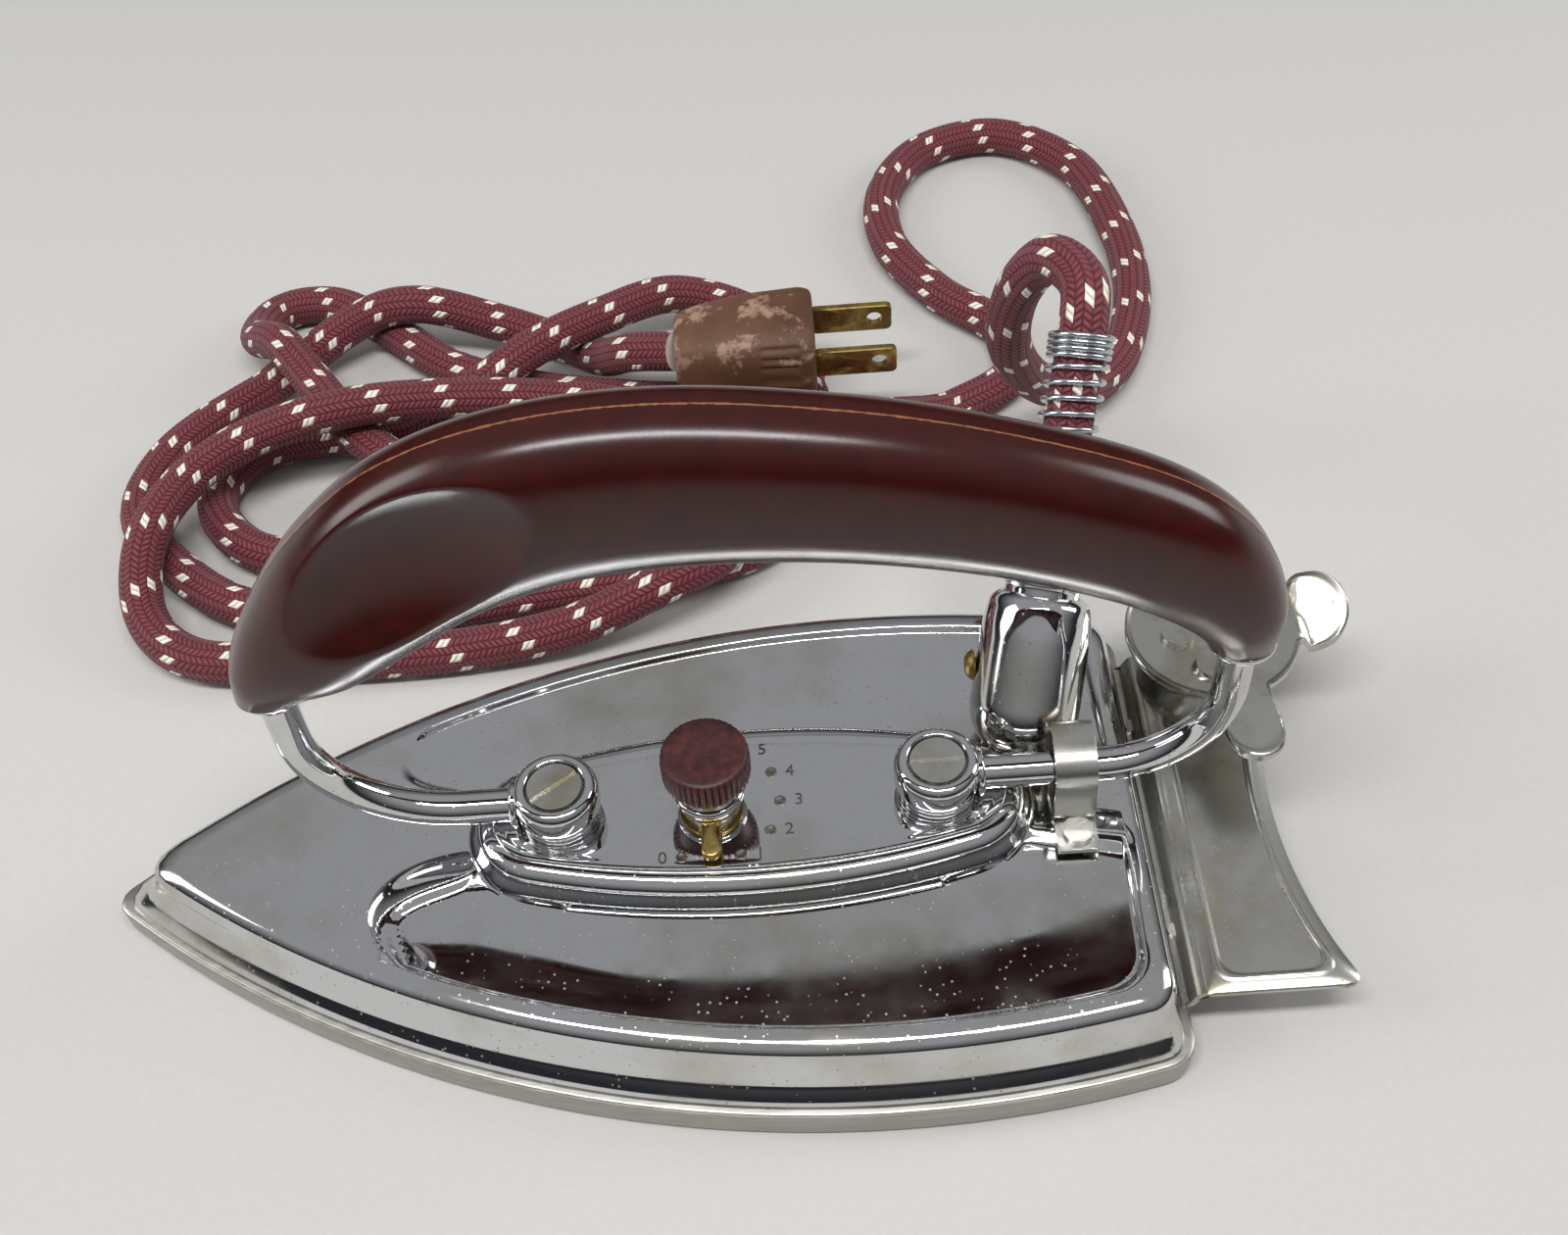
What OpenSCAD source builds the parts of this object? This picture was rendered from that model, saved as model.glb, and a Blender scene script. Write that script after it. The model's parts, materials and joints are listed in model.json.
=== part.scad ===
// Folding travel iron: bail handle, thermostat dial, heel bracket and braided cord.
// The origin is on the ironing face, the tip points to -X, the heel to +X and +Z is up.
// The handle folds down towards -Y; the cord lies on the table behind, at +Y.

/* [Soleplate] */
// Length from tip to heel
sole_l = 172; // [150:1:200]
// Greatest width
sole_w = 94; // [84:1:104]
// Thickness of the soleplate
sole_t = 6; // [5:0.5:8]
// Radius of the tip
tip_r = 3; // [2:0.5:5]

/* [Heating pack] */
// Thickness of each mica sheet
mica_t = 0.4; // [0.3:0.1:0.8]
// Thickness of the heating ribbon
ribbon_t = 0.6; // [0.4:0.1:1]
// Thickness of the cast pressure plate
press_t = 3; // [2:0.5:4]

/* [Cover] */
// Height of the cover's flat top above the ironing face
cover_z = 17.5; // [16.5:0.5:21]
// Thickness of the cover's sheet
cover_t = 0.8; // [0.6:0.1:1.2]
// Height that the dial pedestal stands above the cover
pedestal_h = 4.5; // [3.5:0.5:7]
// Length of the pedestal at its base
pedestal_l = 90; // [82:1:94]
// Width of the pedestal at its base
pedestal_w = 33; // [30:1:38]
// Thickness of the dial plate
dial_t = 0.8; // [0.6:0.1:1.2]

/* [Posts] */
// Distance between the two hinge posts
post_gap = 60; // [56:1:64]
// Diameter of a hinge post
post_d = 13.8; // [13:0.2:15]
// Height of a hinge post that holds a 5.5 mm wire
post_h = 7.6; // [7.4:0.1:9]
// Diameter of the post screw's shank
screw_d = 4; // [3:0.5:4.5]

/* [Bail and handle] */
// Diameter of the bail wire
wire_d = 5.5; // [5:0.1:5.6]
// Radius of the front bend
front_bend_r = 22; // [18:1:24]
// Radius of the rear bend
rear_bend_r = 18; // [15:1:20]
// How far the wire goes into the grip
wire_in = 9; // [6:0.5:10]
// Width of the grip at its middle
grip_w = 17.6; // [15:0.2:20]
// Running clearance of the turning parts, on the radius
run = 0.05; // [0.03:0.01:0.1]

/* [Thermostat] */
// Diameter of the knob
knob_d = 14; // [12:0.5:16]
// Height of the knob
knob_h = 9.5; // [8:0.5:12]
// Diameter of the thermostat shaft
shaft_d = 5; // [4:0.5:6]
// Radius of the circle of settings
dial_r = 11; // [10.5:0.5:11.5]

/* [Cord entry] */
// Diameter of the cord hood
hood_d = 18; // [17:0.5:20]
// Diameter of the tube on the hood
tube_d = 12.4; // [11.8:0.2:14]
// Length of the strain relief spring
spring_l = 36; // [25:1:38]
// Diameter of the spring's wire
spring_wire = 1; // [0.8:0.1:1.2]
// Diameter of the cord
cord_d = 8; // [7:0.2:8.4]

/* [Heel] */
// Thickness of the heel plates
heel_t = 1.2; // [1:0.1:1.6]
// How far the heel plate reaches behind the sole
heel_reach = 26.5; // [22:0.5:30]
// Height of the heel plate's underside
heel_z = 9.5; // [8.5:0.5:12]
// Height of the upper heel rest's underside
rest_z = 23; // [20:0.5:26]

/* [Hidden] */
eps = 0.01;
fine = 64;

// Outline of the sole: two long arcs that meet at the tip, and a straight heel
widest_x = 40;
widest_l = widest_x + sole_l / 2;
arc_c = (pow(widest_l - tip_r, 2) - pow(sole_w / 2 - tip_r, 2)) / (sole_w - 2 * tip_r);
arc_r = arc_c + sole_w / 2;

// Levels of the stack inside the body
mica1_z = sole_t;
ribbon_z = mica1_z + mica_t;
mica2_z = ribbon_z + ribbon_t;
press_z = mica2_z + mica_t;
inside_z = press_z + press_t;
shoulder_z = cover_z - 3;
pack_inset = 10;
pack_heel = 8;

// Pedestal, dial plate and posts
dial_x = 20;
pedestal_z = cover_z + pedestal_h;
dial_z = pedestal_z + dial_t;
lens_tip_r = pedestal_w / 2 - 4.5;
dial_w = pedestal_w - 8;
dial_l = pedestal_l - 8;
post_x = [dial_x - post_gap / 2, dial_x + post_gap / 2];
pivot_z = dial_z + 0.45 + wire_d / 2;
post_rise = post_h + wire_d - 5.5;
post_top = dial_z + post_rise;
head_t = 1.1;
head_r = 4.3;
wire_stop = screw_d / 2 + 1.1;
wire_r = wire_d / 2;

// Bail: the wire leaves each post along X and turns up to the grip
front_x = -46.5;
rear_x = 93.7;
front_grip_z = 60.5;
rear_grip_z = 56.5;

// Thermostat
knob_x = 14;
shaft_r = shaft_d / 2;
bushing_t = 1.4;
pointer_z = dial_z + bushing_t + run;
pointer_t = 1.4;
collar_z = pointer_z + pointer_t;
collar_t = 1.5;
knob_z = collar_z + collar_t;
arm_z = inside_z + 1.3;
arm_t = 0.4;
cam_z = arm_z + arm_t + 0.2;
shelf_t = 1;
shelf_z = cam_z + 1.5 + 2.4;

// Cord entry: the hood stands on the cover and leans towards +Y
hood_x = 66.5;
hood_y = 16.5;
hood_lift = 9.5;
lean = 17;
rise = 45;
hood_run = 15;
tube_out = 9;
spring_in_d = cord_d + 0.8;
spring_d = spring_in_d + 2 * spring_wire;
hood_turn = [rise - 90, 0, -lean];
tube_floor = 3;

// Clip and heel
clip_x = 71.6;
clip_w = 7;
clip_t = 1;
heel_x = sole_l / 2 + 1.2;
rest_c = [sole_l / 2 + 13, 27];
rest_r = 14.5;
rest_rivets = [rest_c + [-6, -1], rest_c + [-1.5, -8]];

// Grip stations from front to rear: bottom x, bottom z, top x, top z, share of the grip's width
grip_stations = [
  [-41.5, 60.5, -51.5, 60.5, 0.58], [-37, 63.2, -50, 68, 0.83], [-31, 65, -45, 78, 1],
  [-22, 71, -36, 90.5, 1.06], [-12, 77.5, -23, 102, 1.05], [1, 82.5, -6, 108.5, 1.02],
  [17, 84, 15, 110, 1], [36, 82.5, 40, 106, 0.98], [55, 78, 62, 99, 0.97],
  [71, 71.5, 81, 90, 0.97], [81, 65.5, 92.5, 79.5, 0.95], [86.3, 60.5, 98.3, 67, 0.84], [88.4, 56.5, 98.6, 56.5, 0.56]];

// Route of the cord's middle from the spring to the plug: down to the table, round one wide loop
// at the heel, and to and fro in a loose heap beyond the tip, humped where it crosses itself
plug_at = [9, 113, 17];
route = [
  [79, 63, 71], [75, 71, 69], [71, 76, 58], [71, 81, 42], [78, 91, 23], [90, 103, 8],
  [100, 116, 4], [106, 136, 4], [106, 158, 4], [100, 181, 4], [84, 194, 4], [66, 190, 4],
  [56, 175, 4], [56, 157, 4], [65, 140, 4], [77, 127, 4], [77, 113, 4], [64, 104, 4],
  [50, 98, 9], [32, 95, 12], [11, 99, 12], [-12, 105, 13], [-35, 104, 17], [-56, 100, 20],
  [-74, 97, 17], [-87, 89, 14], [-93, 75, 12], [-92, 61, 6], [-81, 52, 4], [-59, 50, 4],
  [-35, 50, 4], [-13, 52, 6], [4, 56, 11], [17, 63, 12], [23, 74, 12], [14, 84, 12],
  [-3, 85, 12], [-25, 87, 12], [-43, 92, 10], [-55, 101, 12], [-64, 114, 13], [-73, 127, 14],
  [-81, 138, 7], [-78, 149, 4], [-66, 150, 4], [-53, 140, 4], [-39, 127, 4], [-22, 119, 4],
  [-2, 114, 4], [14, 110, 4], [17, 97, 4], [6, 88, 4], [-14, 84, 4], [-36, 79, 4],
  [-58, 75, 4], [-75, 79, 4], [-84, 92, 4], [-78, 105, 4], [-63, 109, 4], [-46, 107, 5],
  [-32, 113, 11], [-20, 122, 13], [-7, 131, 12], [8, 140, 9], [24, 138, 4], [33, 124, 4],
  [36, 104, 4], [35, 85, 4], [24, 71, 4], [4, 65, 4], [-22, 62, 4], [-48, 59, 4],
  [-72, 63, 4], [-88, 74, 4], [-99, 90, 4], [-95, 108, 4], [-79, 124, 4], [-60, 138, 9],
  [-46, 139, 12], [-29, 137, 7], [-15, 132, 4], [-7, 124, 7], [0, 117, 14], [9, 113, 17]];

// ---- shapes that repeat ----

// One ring of the body's outline: side inset, heel inset, radius of the tip, radius of the heel corners
function outline(side, heel, tip, corner) =
  let (r = arc_r - side,
       xt = widest_x - sqrt(pow(r - tip, 2) - arc_c * arc_c),
       xh = sole_l / 2 - heel,
       yh = sqrt(pow(r - corner, 2) - pow(xh - corner - widest_x, 2)) - arc_c,
       a_tip = atan2(arc_c, xt - widest_x),
       a_heel = atan2(yh + arc_c, xh - corner - widest_x),
       half = concat(
         [for (i = [0:4]) let (a = 180 + (a_tip - 180) * i / 4) [xt + tip * cos(a), tip * sin(a)]],
         [for (i = [1:13]) let (a = a_tip + (a_heel - a_tip) * i / 14)
           [widest_x + r * cos(a), r * sin(a) - arc_c]],
         [for (i = [0:4]) let (a = a_heel * (1 - i / 4)) [xh - corner + corner * cos(a), yh + corner * sin(a)]]))
  both_sides(half);

// A half outline from tip to heel, made whole
function both_sides(half) = concat(
  [for (p = half) [p[0], -p[1]]],
  [for (i = [len(half) - 1:-1:1]) half[i]]);

// One ring of the eye-shaped pedestal: half length, half width, radius of its ends
function eye(hl, hw, r) =
  let (c = (pow(hl - r, 2) - pow(hw - r, 2)) / (2 * (hw - r)),
       big = c + hw,
       a_end = atan2(c, r - hl),
       half = concat(
         [for (i = [0:4]) let (a = 180 + (a_end - 180) * i / 4) [r - hl + r * cos(a), r * sin(a)]],
         [for (i = [1:9]) let (a = a_end + (180 - 2 * a_end) * i / 10) [big * cos(a), big * sin(a) - c]],
         [for (i = [0:4]) let (a = (180 - a_end) * (1 - i / 4)) [hl - r + r * cos(a), r * sin(a)]]))
  concat([for (p = half) [p[0], -p[1]]], [for (i = [len(half) - 2:-1:1]) half[i]]);

// The skin between rings of the same number of points, given as 3D points, with closed ends
module skin(rings) {
  n = len(rings[0]);
  last = len(rings) - 1;
  polyhedron(
    points = [for (ring = rings) for (p = ring) p],
    faces = concat(
      [[for (i = [0:n - 1]) i]],
      [for (k = [0:last - 1]) for (i = [0:n - 1])
        [k * n + i, (k + 1) * n + i, (k + 1) * n + (i + 1) % n, k * n + (i + 1) % n]],
      [[for (i = [n - 1:-1:0]) last * n + i]]),
    convexity = 6);
}

// A flat ring raised to a height
function lift(ring, z) = [for (p = ring) [p[0], p[1], z]];

// A point on the smooth curve through points a, b, c and d, at t between b and c
function smooth(a, b, c, d, t) =
  0.5 * (2 * b + (c - a) * t + (2 * a - 5 * b + 4 * c - d) * t * t + (3 * b - a - 3 * c + d) * t * t * t);

// The smooth curve through a list of points, with a number of steps between each two
function curve(p, steps) =
  [for (i = [0:len(p) - 2]) for (k = [0:steps - 1])
     smooth(p[max(i - 1, 0)], p[i], p[i + 1], p[min(i + 2, len(p) - 1)], k / steps),
   p[len(p) - 1]];

// A round bar along X from x0 to x1 on the handle's hinge axis
module hinge_bar(x0, x1, r) {
  translate([x0, 0, pivot_z]) rotate([0, 90, 0]) cylinder(h = x1 - x0, r = r, $fn = fine);
}

// A slotted screw: head on the plane z = 0, shank below it
module slotted_screw(hr, ht, shank_r, shank_l, turn) {
  difference() {
    union() {
      cylinder(h = ht, r = hr, $fn = fine);
      translate([0, 0, -shank_l]) cylinder(h = shank_l, r = shank_r, $fn = fine);
    }
    rotate([0, 0, turn]) translate([-hr - 1, -0.45, ht * 0.4]) cube([2 * hr + 2, 0.9, ht]);
  }
}

// A rivet: flat head above z = 0, shank down to a lower head
module rivet(head, shank, grip_l) {
  cylinder(h = 0.8, r = head, $fn = fine);
  translate([0, 0, -grip_l]) cylinder(h = grip_l + eps, r = shank, $fn = fine);
}

// ---- sole and heating pack ----

screw_spots = [[-34, 0], [30, 22], [30, -22]];

module soleplate() {
  color("silver") difference() {
    skin([
      lift(outline(0.6, 0.6, tip_r, 5), 0),
      lift(outline(0, 0, tip_r, 5.5), 0.8),
      lift(outline(0, 0, tip_r, 5.5), sole_t - 0.4),
      lift(outline(0.4, 0.4, tip_r, 5), sole_t)]);
    for (p = screw_spots) translate([p[0], p[1], sole_t - 4]) cylinder(h = 5, d = screw_d, $fn = fine);
  }
}

module pack_layer(z, t, extra) {
  difference() {
    translate([0, 0, z]) linear_extrude(t) polygon(outline(pack_inset + extra, pack_heel + extra, 2, 6));
    for (p = screw_spots)
      translate([p[0], p[1], z - 1]) cylinder(h = t + 2, d = screw_d + 0.6, $fn = fine);
  }
}

module lower_mica() {
  color("goldenrod") pack_layer(mica1_z, mica_t, 0);
}

module upper_mica() {
  color("goldenrod") pack_layer(mica2_z, mica_t, 0);
}

module heating_element() {
  color("dimgray") intersection() {
    pack_layer(ribbon_z, ribbon_t, 3);
    translate([0, 0, ribbon_z - 1]) linear_extrude(ribbon_t + 2) union() {
      for (i = [0:11]) translate([-62 + i * 11, -60]) square([4, 120]);
      for (i = [0:10]) translate([-62 + i * 11, i % 2 == 0 ? ribbon_end(i) : -ribbon_end(i) - 4]) square([15, 4]);
    }
  }
}

// How far to the side a link of the heating ribbon lies
function ribbon_end(i) =
  sqrt(pow(arc_r - pack_inset - 8, 2) - pow(max(abs(i * 11 - 62 - widest_x), abs(i * 11 - 47 - widest_x)), 2)) - arc_c;

module pressure_plate() {
  color("gray") difference() {
    pack_layer(press_z, press_t, 1);
    for (x = post_x) translate([x, 0, press_z - 1]) cylinder(h = press_t + 2, d = screw_d, $fn = fine);
  }
}

module pressure_screws() {
  color("slategray") for (p = screw_spots)
    translate([p[0], p[1], inside_z]) slotted_screw(3.5, 1.8, screw_d / 2, inside_z - sole_t + 4, 30);
}

// ---- cover, dial and posts ----

// Rings of the cover's outside, or of its inside at a sheet's thickness
function cover_rings(t) = [
  lift(outline(1.2 + t, 1.6 + t, 2.6, 4.5), t > 0 ? sole_t - 1 : sole_t),
  lift(outline(1.9 + t, 1.8 + t, 2.6, 4.5), sole_t + 1),
  lift(outline(3.6 + t, 2.4 + t, 2.8, 4.5), sole_t + 3.5),
  lift(outline(4.6 + t, 2.8 + t, 3, 4.5), shoulder_z - 1.5),
  lift(outline(5 + t, 3 + t, 3, 4.5), shoulder_z - t / 2),
  lift(outline(5.8 + t, 3.8 + t, 3.2, 5), shoulder_z + 1.4 - t),
  lift(outline(8 + t, 6 + t, 4, 6), cover_z - 0.6 - t),
  lift(outline(12 + t, 10 + t, 5, 7), cover_z - t)];

// Rings of the pedestal's outside, or of its inside
function pedestal_rings(t) = [
  lift(eye(pedestal_l / 2 - t, pedestal_w / 2 - t, lens_tip_r), cover_z - (t > 0 ? 3 * t : eps)),
  lift(eye(pedestal_l / 2 - 1.6 - t, pedestal_w / 2 - 1.6 - t, lens_tip_r - 1), cover_z + 1.2 - t),
  lift(eye(pedestal_l / 2 - 2.6 - t, pedestal_w / 2 - 2.6 - t, lens_tip_r - 1.6), pedestal_z - 0.8 - t),
  lift(eye(pedestal_l / 2 - 3.6 - t, pedestal_w / 2 - 3.6 - t, lens_tip_r - 2), pedestal_z - t)];

module top_cover() {
  color("gainsboro") difference() {
    union() {
      skin(cover_rings(0));
      translate([dial_x, 0, 0]) skin(pedestal_rings(0));
    }
    skin(cover_rings(cover_t));
    translate([dial_x, 0, 0]) skin(pedestal_rings(cover_t));
    for (x = post_x) translate([x, 0, cover_z]) cylinder(h = pedestal_h + 1, d = screw_d + 0.2, $fn = fine);
    translate([knob_x, 0, cover_z]) cylinder(h = pedestal_h + 1, d = shaft_d + 1, $fn = fine);
    translate([hood_x, hood_y, cover_z - 2]) cylinder(h = 3, d = 11, $fn = fine);
    clip_rivet_hole();
  }
}

module dial_plate() {
  color("lightgray") difference() {
    translate([dial_x, 0, pedestal_z]) linear_extrude(dial_t) polygon(eye(dial_l / 2, dial_w / 2, lens_tip_r - 2));
    for (x = post_x) translate([x, 0, pedestal_z - 1]) cylinder(h = dial_t + 2, d = screw_d + 0.2, $fn = fine);
    translate([knob_x, 0, pedestal_z - 1]) cylinder(h = dial_t + 2, d = shaft_d + 1, $fn = fine);
    for (a = [-26, 24, 57, 87, 117, 150])
      translate([knob_x + dial_r * sin(a), -dial_r * cos(a), dial_z - 0.3]) cylinder(h = 1, r = 0.7, $fn = 32);
  }
}

// A hinge post: a wide ring on narrower rings, drilled from one side for the bail
module post(x, turn) {
  color("gainsboro") translate([x, 0, 0]) rotate([0, 0, turn]) difference() {
    translate([0, 0, dial_z]) rotate_extrude($fn = 96) polygon([
      [screw_d / 2 + 0.1, 0], [post_d / 2 - 0.9, 0], [post_d / 2 - 0.5, 0.4], [post_d / 2 - 0.9, 0.8],
      [post_d / 2 - 0.4, 1.2], [post_d / 2 - 0.4, 1.6], [post_d / 2 - 0.8, 1.9], [post_d / 2 - 0.2, 2.4],
      [post_d / 2, 3.2], [post_d / 2, post_rise - 1.6], [post_d / 2 - 0.5, post_rise - 0.5],
      [post_d / 2 - 1.6, post_rise], [head_r + 0.3, post_rise], [head_r + 0.1, post_rise - 0.4],
      [head_r + 0.1, post_rise - head_t - 0.2], [screw_d / 2 + 0.1, post_rise - head_t - 0.2]]);
    hinge_bar(-post_d, run - wire_stop, wire_r + run);
  }
}

module front_post() {
  post(post_x[0], 0);
}

module rear_post() {
  post(post_x[1], 180);
}

module post_screws() {
  seat = post_top - head_t - 0.2;
  color("silver") for (i = [0:1]) translate([post_x[i], 0, seat])
    slotted_screw(head_r, head_t, screw_d / 2, seat - press_z, i == 0 ? 35 : 0);
}

// ---- thermostat and wiring ----

module shaft_bushing() {
  color("silver") translate([knob_x, 0, dial_z]) difference() {
    cylinder(h = bushing_t, r = shaft_r + 2, $fn = fine);
    translate([0, 0, -1]) cylinder(h = bushing_t + 2, r = shaft_r + run, $fn = fine);
  }
}

module thermostat_bracket() {
  color("goldenrod") difference() {
    union() {
      translate([knob_x - 13, -6, inside_z]) cube([20, 12, shelf_t]);
      translate([knob_x - 13, -6, inside_z]) cube([shelf_t, 12, shelf_z - inside_z]);
      translate([knob_x - 13, -6, shelf_z]) cube([20, 12, shelf_t]);
    }
    translate([knob_x, 0, shelf_z - 1]) cylinder(h = shelf_t + 2, r = shaft_r + run, $fn = fine);
  }
}

// The contact block stands clear of the rear post's screw, and the strip, arm and contacts reach to it
block_x = post_x[1] - 12;

module bimetal_strip() {
  color("peru") translate([knob_x + 8.5, -4, inside_z]) cube([block_x - 0.5 - knob_x - 8.5, 8, 0.7]);
}

module contact_block() {
  color("ivory") translate([block_x, -6, inside_z]) cube([6, 12, arm_z - inside_z]);
}

module contact_arm() {
  color("gold") translate([knob_x - 4, -3, arm_z]) cube([block_x + 6 - knob_x + 4, 6, arm_t]);
}

module contact_points() {
  color("silver") translate([block_x - 6, 0, 0]) {
    translate([0, 0, inside_z + 0.7]) cylinder(h = 0.3, r = 1.5, $fn = 32);
    translate([0, 0, inside_z + 1]) cylinder(h = arm_z - inside_z - 1, r = 1.5, $fn = 32);
  }
}

terminal_spots = [[hood_x - 2.2, hood_y], [hood_x + 2.2, hood_y]];
terminal_t = cover_z - cover_t - inside_z - 1.6;

module terminal_block() {
  color("saddlebrown") difference() {
    translate([hood_x - 9, hood_y - 7, inside_z]) cube([18, 14, terminal_t]);
    for (p = terminal_spots)
      translate([p[0], p[1] - 4.5, inside_z - 1]) cylinder(h = terminal_t + 2, r = 1.2, $fn = 32);
  }
}

module terminal_screws() {
  color("gold") for (p = terminal_spots)
    translate([p[0], p[1] - 4.5, inside_z + terminal_t]) slotted_screw(2, 1, 1.2, terminal_t, 20);
}

module supply_leads() {
  color("white") for (p = terminal_spots)
    translate([p[0], p[1], inside_z + terminal_t]) cylinder(h = cover_z + 3 - inside_z - terminal_t, r = 1.1, $fn = 32);
}

module thermostat_shaft() {
  color("silver") translate([knob_x, 0, 0]) {
    translate([0, 0, cam_z + 1.5]) cylinder(h = knob_z + 5 - cam_z - 1.5, r = shaft_r, $fn = fine);
    translate([0.7, 0, cam_z]) cylinder(h = 1.5 + eps, r = shaft_r + 1.2, $fn = fine);
  }
}

module pointer() {
  color("gold") translate([knob_x, 0, pointer_z]) difference() {
    union() {
      cylinder(h = pointer_t, r = shaft_r + 2.6, $fn = fine);
      translate([-1.5, -dial_r + 0.6, 0]) cube([3, dial_r - 1, pointer_t]);
      translate([0, -dial_r + 0.6, 0]) cylinder(h = pointer_t, r = 1.5, $fn = 32);
    }
    translate([0, 0, -1]) cylinder(h = pointer_t + 2, r = shaft_r, $fn = fine);
  }
}

module knob_collar() {
  color("gainsboro") translate([knob_x, 0, collar_z]) difference() {
    cylinder(h = collar_t, r = shaft_r + 3.2, $fn = fine);
    translate([0, 0, -1]) cylinder(h = collar_t + 2, r = shaft_r, $fn = fine);
  }
}

module knob() {
  color("maroon") translate([knob_x, 0, knob_z]) difference() {
    rotate_extrude($fn = 72) polygon([
      [0, 0], [knob_d / 2 - 2, 0], [knob_d / 2 - 1.2, 1], [knob_d / 2 - 0.9, 3.2],
      [knob_d / 2, 3.8], [knob_d / 2, knob_h - 0.5], [knob_d / 2 - 0.6, knob_h], [0, knob_h]]);
    translate([0, 0, -1]) cylinder(h = 6, r = shaft_r, $fn = fine);
    for (i = [0:35]) rotate([0, 0, i * 10]) translate([knob_d / 2, 0, 3.6]) cylinder(h = knob_h, r = 0.3, $fn = 4);
  }
}

// ---- cord entry ----

// Puts its children on the hood's sloping axis, at a distance along it
module on_hood_axis(s) {
  translate([hood_x, hood_y, cover_z + hood_lift]) rotate(hood_turn) translate([0, 0, s]) children();
}

// A point on the hood's axis
function hood_point(s) = [
  hood_x + s * cos(rise) * sin(lean),
  hood_y + s * cos(rise) * cos(lean),
  cover_z + hood_lift + s * sin(rise)];

// The hood's form, smaller by a wall
module hood_form(wall) {
  r = hood_d / 2 - wall;
  translate([hood_x, hood_y, cover_z - (wall > 0 ? 1 : 0)])
    cylinder(h = hood_lift + (wall > 0 ? 1 : 0), r = r, $fn = fine);
  on_hood_axis(0) sphere(r = r, $fn = fine);
  on_hood_axis(0) cylinder(h = hood_run - wall, r = r, $fn = fine);
}

module cord_hood() {
  color("gainsboro") difference() {
    hood_form(0);
    hood_form(1);
    on_hood_axis(0) cylinder(h = hood_run + 2, d = tube_d, $fn = fine);
    at_hood_screw() translate([0, 0, -3]) cylinder(h = 6, r = 1.2, $fn = 32);
  }
}

// Puts its children on the hood's side, with +Z out of the hood
module at_hood_screw() {
  translate([hood_x - hood_d / 2 + 0.5, hood_y + 2.6, cover_z + hood_lift + 2]) rotate([0, -90, 0]) children();
}

module hood_screw() {
  color("gold") difference() {
    at_hood_screw() slotted_screw(2.6, 1.4, 1.2, 2.6, 90);
    hood_form(eps);
  }
  color("gold") at_hood_screw() translate([0, 0, -2.6]) cylinder(h = 2.6, r = 1.2, $fn = 32);
}

module cord_tube() {
  color("gainsboro") on_hood_axis(hood_run - 4) difference() {
    cylinder(h = 4 + tube_out, d = tube_d, $fn = fine);
    translate([0, 0, 4 + tube_out - tube_floor]) cylinder(h = tube_floor + 1, d = spring_d, $fn = fine);
    translate([0, 0, -1]) cylinder(h = 40, d = 5, $fn = fine);
  }
}

module strain_relief_spring() {
  color("silver") on_hood_axis(hood_run + tube_out - tube_floor) difference() {
    cylinder(h = spring_l, d = spring_d, $fn = fine);
    translate([0, 0, -1]) cylinder(h = spring_l + 2, d = spring_in_d, $fn = fine);
  }
}

cord_start = hood_run + tube_out - tube_floor;
cord_line = curve(concat([for (s = [0, 0.5, 1]) hood_point(cord_start + s * (spring_l + 1))], route), 1);

// The unit direction of a curve at point i
function along(p, i) = let (d = p[min(i + 1, len(p) - 1)] - p[max(i - 1, 0)]) d / norm(d);

// A ring of points round a point, square to a direction, turned the same way all along the curve
function cord_ring(p, i, r, n) =
  let (d = along(p, i),
       side = abs(d[2]) < 0.9 ? cross(d, [0, 0, 1]) : cross(d, [0, 1, 0]),
       u = side / norm(side),
       v = cross(u, d))
  [for (k = [0:n - 1]) p[i] + r * (cos(360 * k / n) * u + sin(360 * k / n) * v)];

module cord() {
  color("brown") skin([for (i = [0:len(cord_line) - 1]) cord_ring(cord_line, i, cord_d / 2, 10)]);
}

plug_l = 28;
plug_r = 9;
blade_gap = 12.7;

// Puts its children at the plug, with +X towards the blades
module at_plug() {
  translate(plug_at) children();
}

module plug_body() {
  color("sienna") at_plug() difference() {
    intersection() {
      rotate([0, 90, 0]) rotate_extrude($fn = fine) polygon([
        [0, 0], [cord_d / 2 + 1, 0], [cord_d / 2 + 2.2, 3], [plug_r + 0.8, 12], [plug_r + 1.4, plug_l - 2],
        [plug_r + 0.4, plug_l], [0, plug_l]]);
      translate([-1, -20, -plug_r]) cube([plug_l + 2, 40, 2 * plug_r]);
    }
    for (s = [-1, 1]) translate([plug_l - 8, s * blade_gap / 2 - 0.75, -3.2]) cube([10, 1.5, 6.4]);
  }
}

module plug_blades() {
  color("goldenrod") at_plug() for (s = [-1, 1]) difference() {
    translate([plug_l - 8, s * blade_gap / 2 - 0.75, -3.2]) cube([8 + 16, 1.5, 6.4]);
    translate([plug_l + 12.5, s * blade_gap / 2, 0]) rotate([90, 0, 0])
      translate([0, 0, -2]) cylinder(h = 4, r = 1.6, $fn = 32);
  }
}

// ---- clip and heel ----

clip_foot_y = -10.5;
rivet_y = -7.5;

module clip_rivet_hole() {
  translate([clip_x, rivet_y, cover_z - 2]) cylinder(h = 4 + clip_t, r = 1.5, $fn = 32);
}

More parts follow.
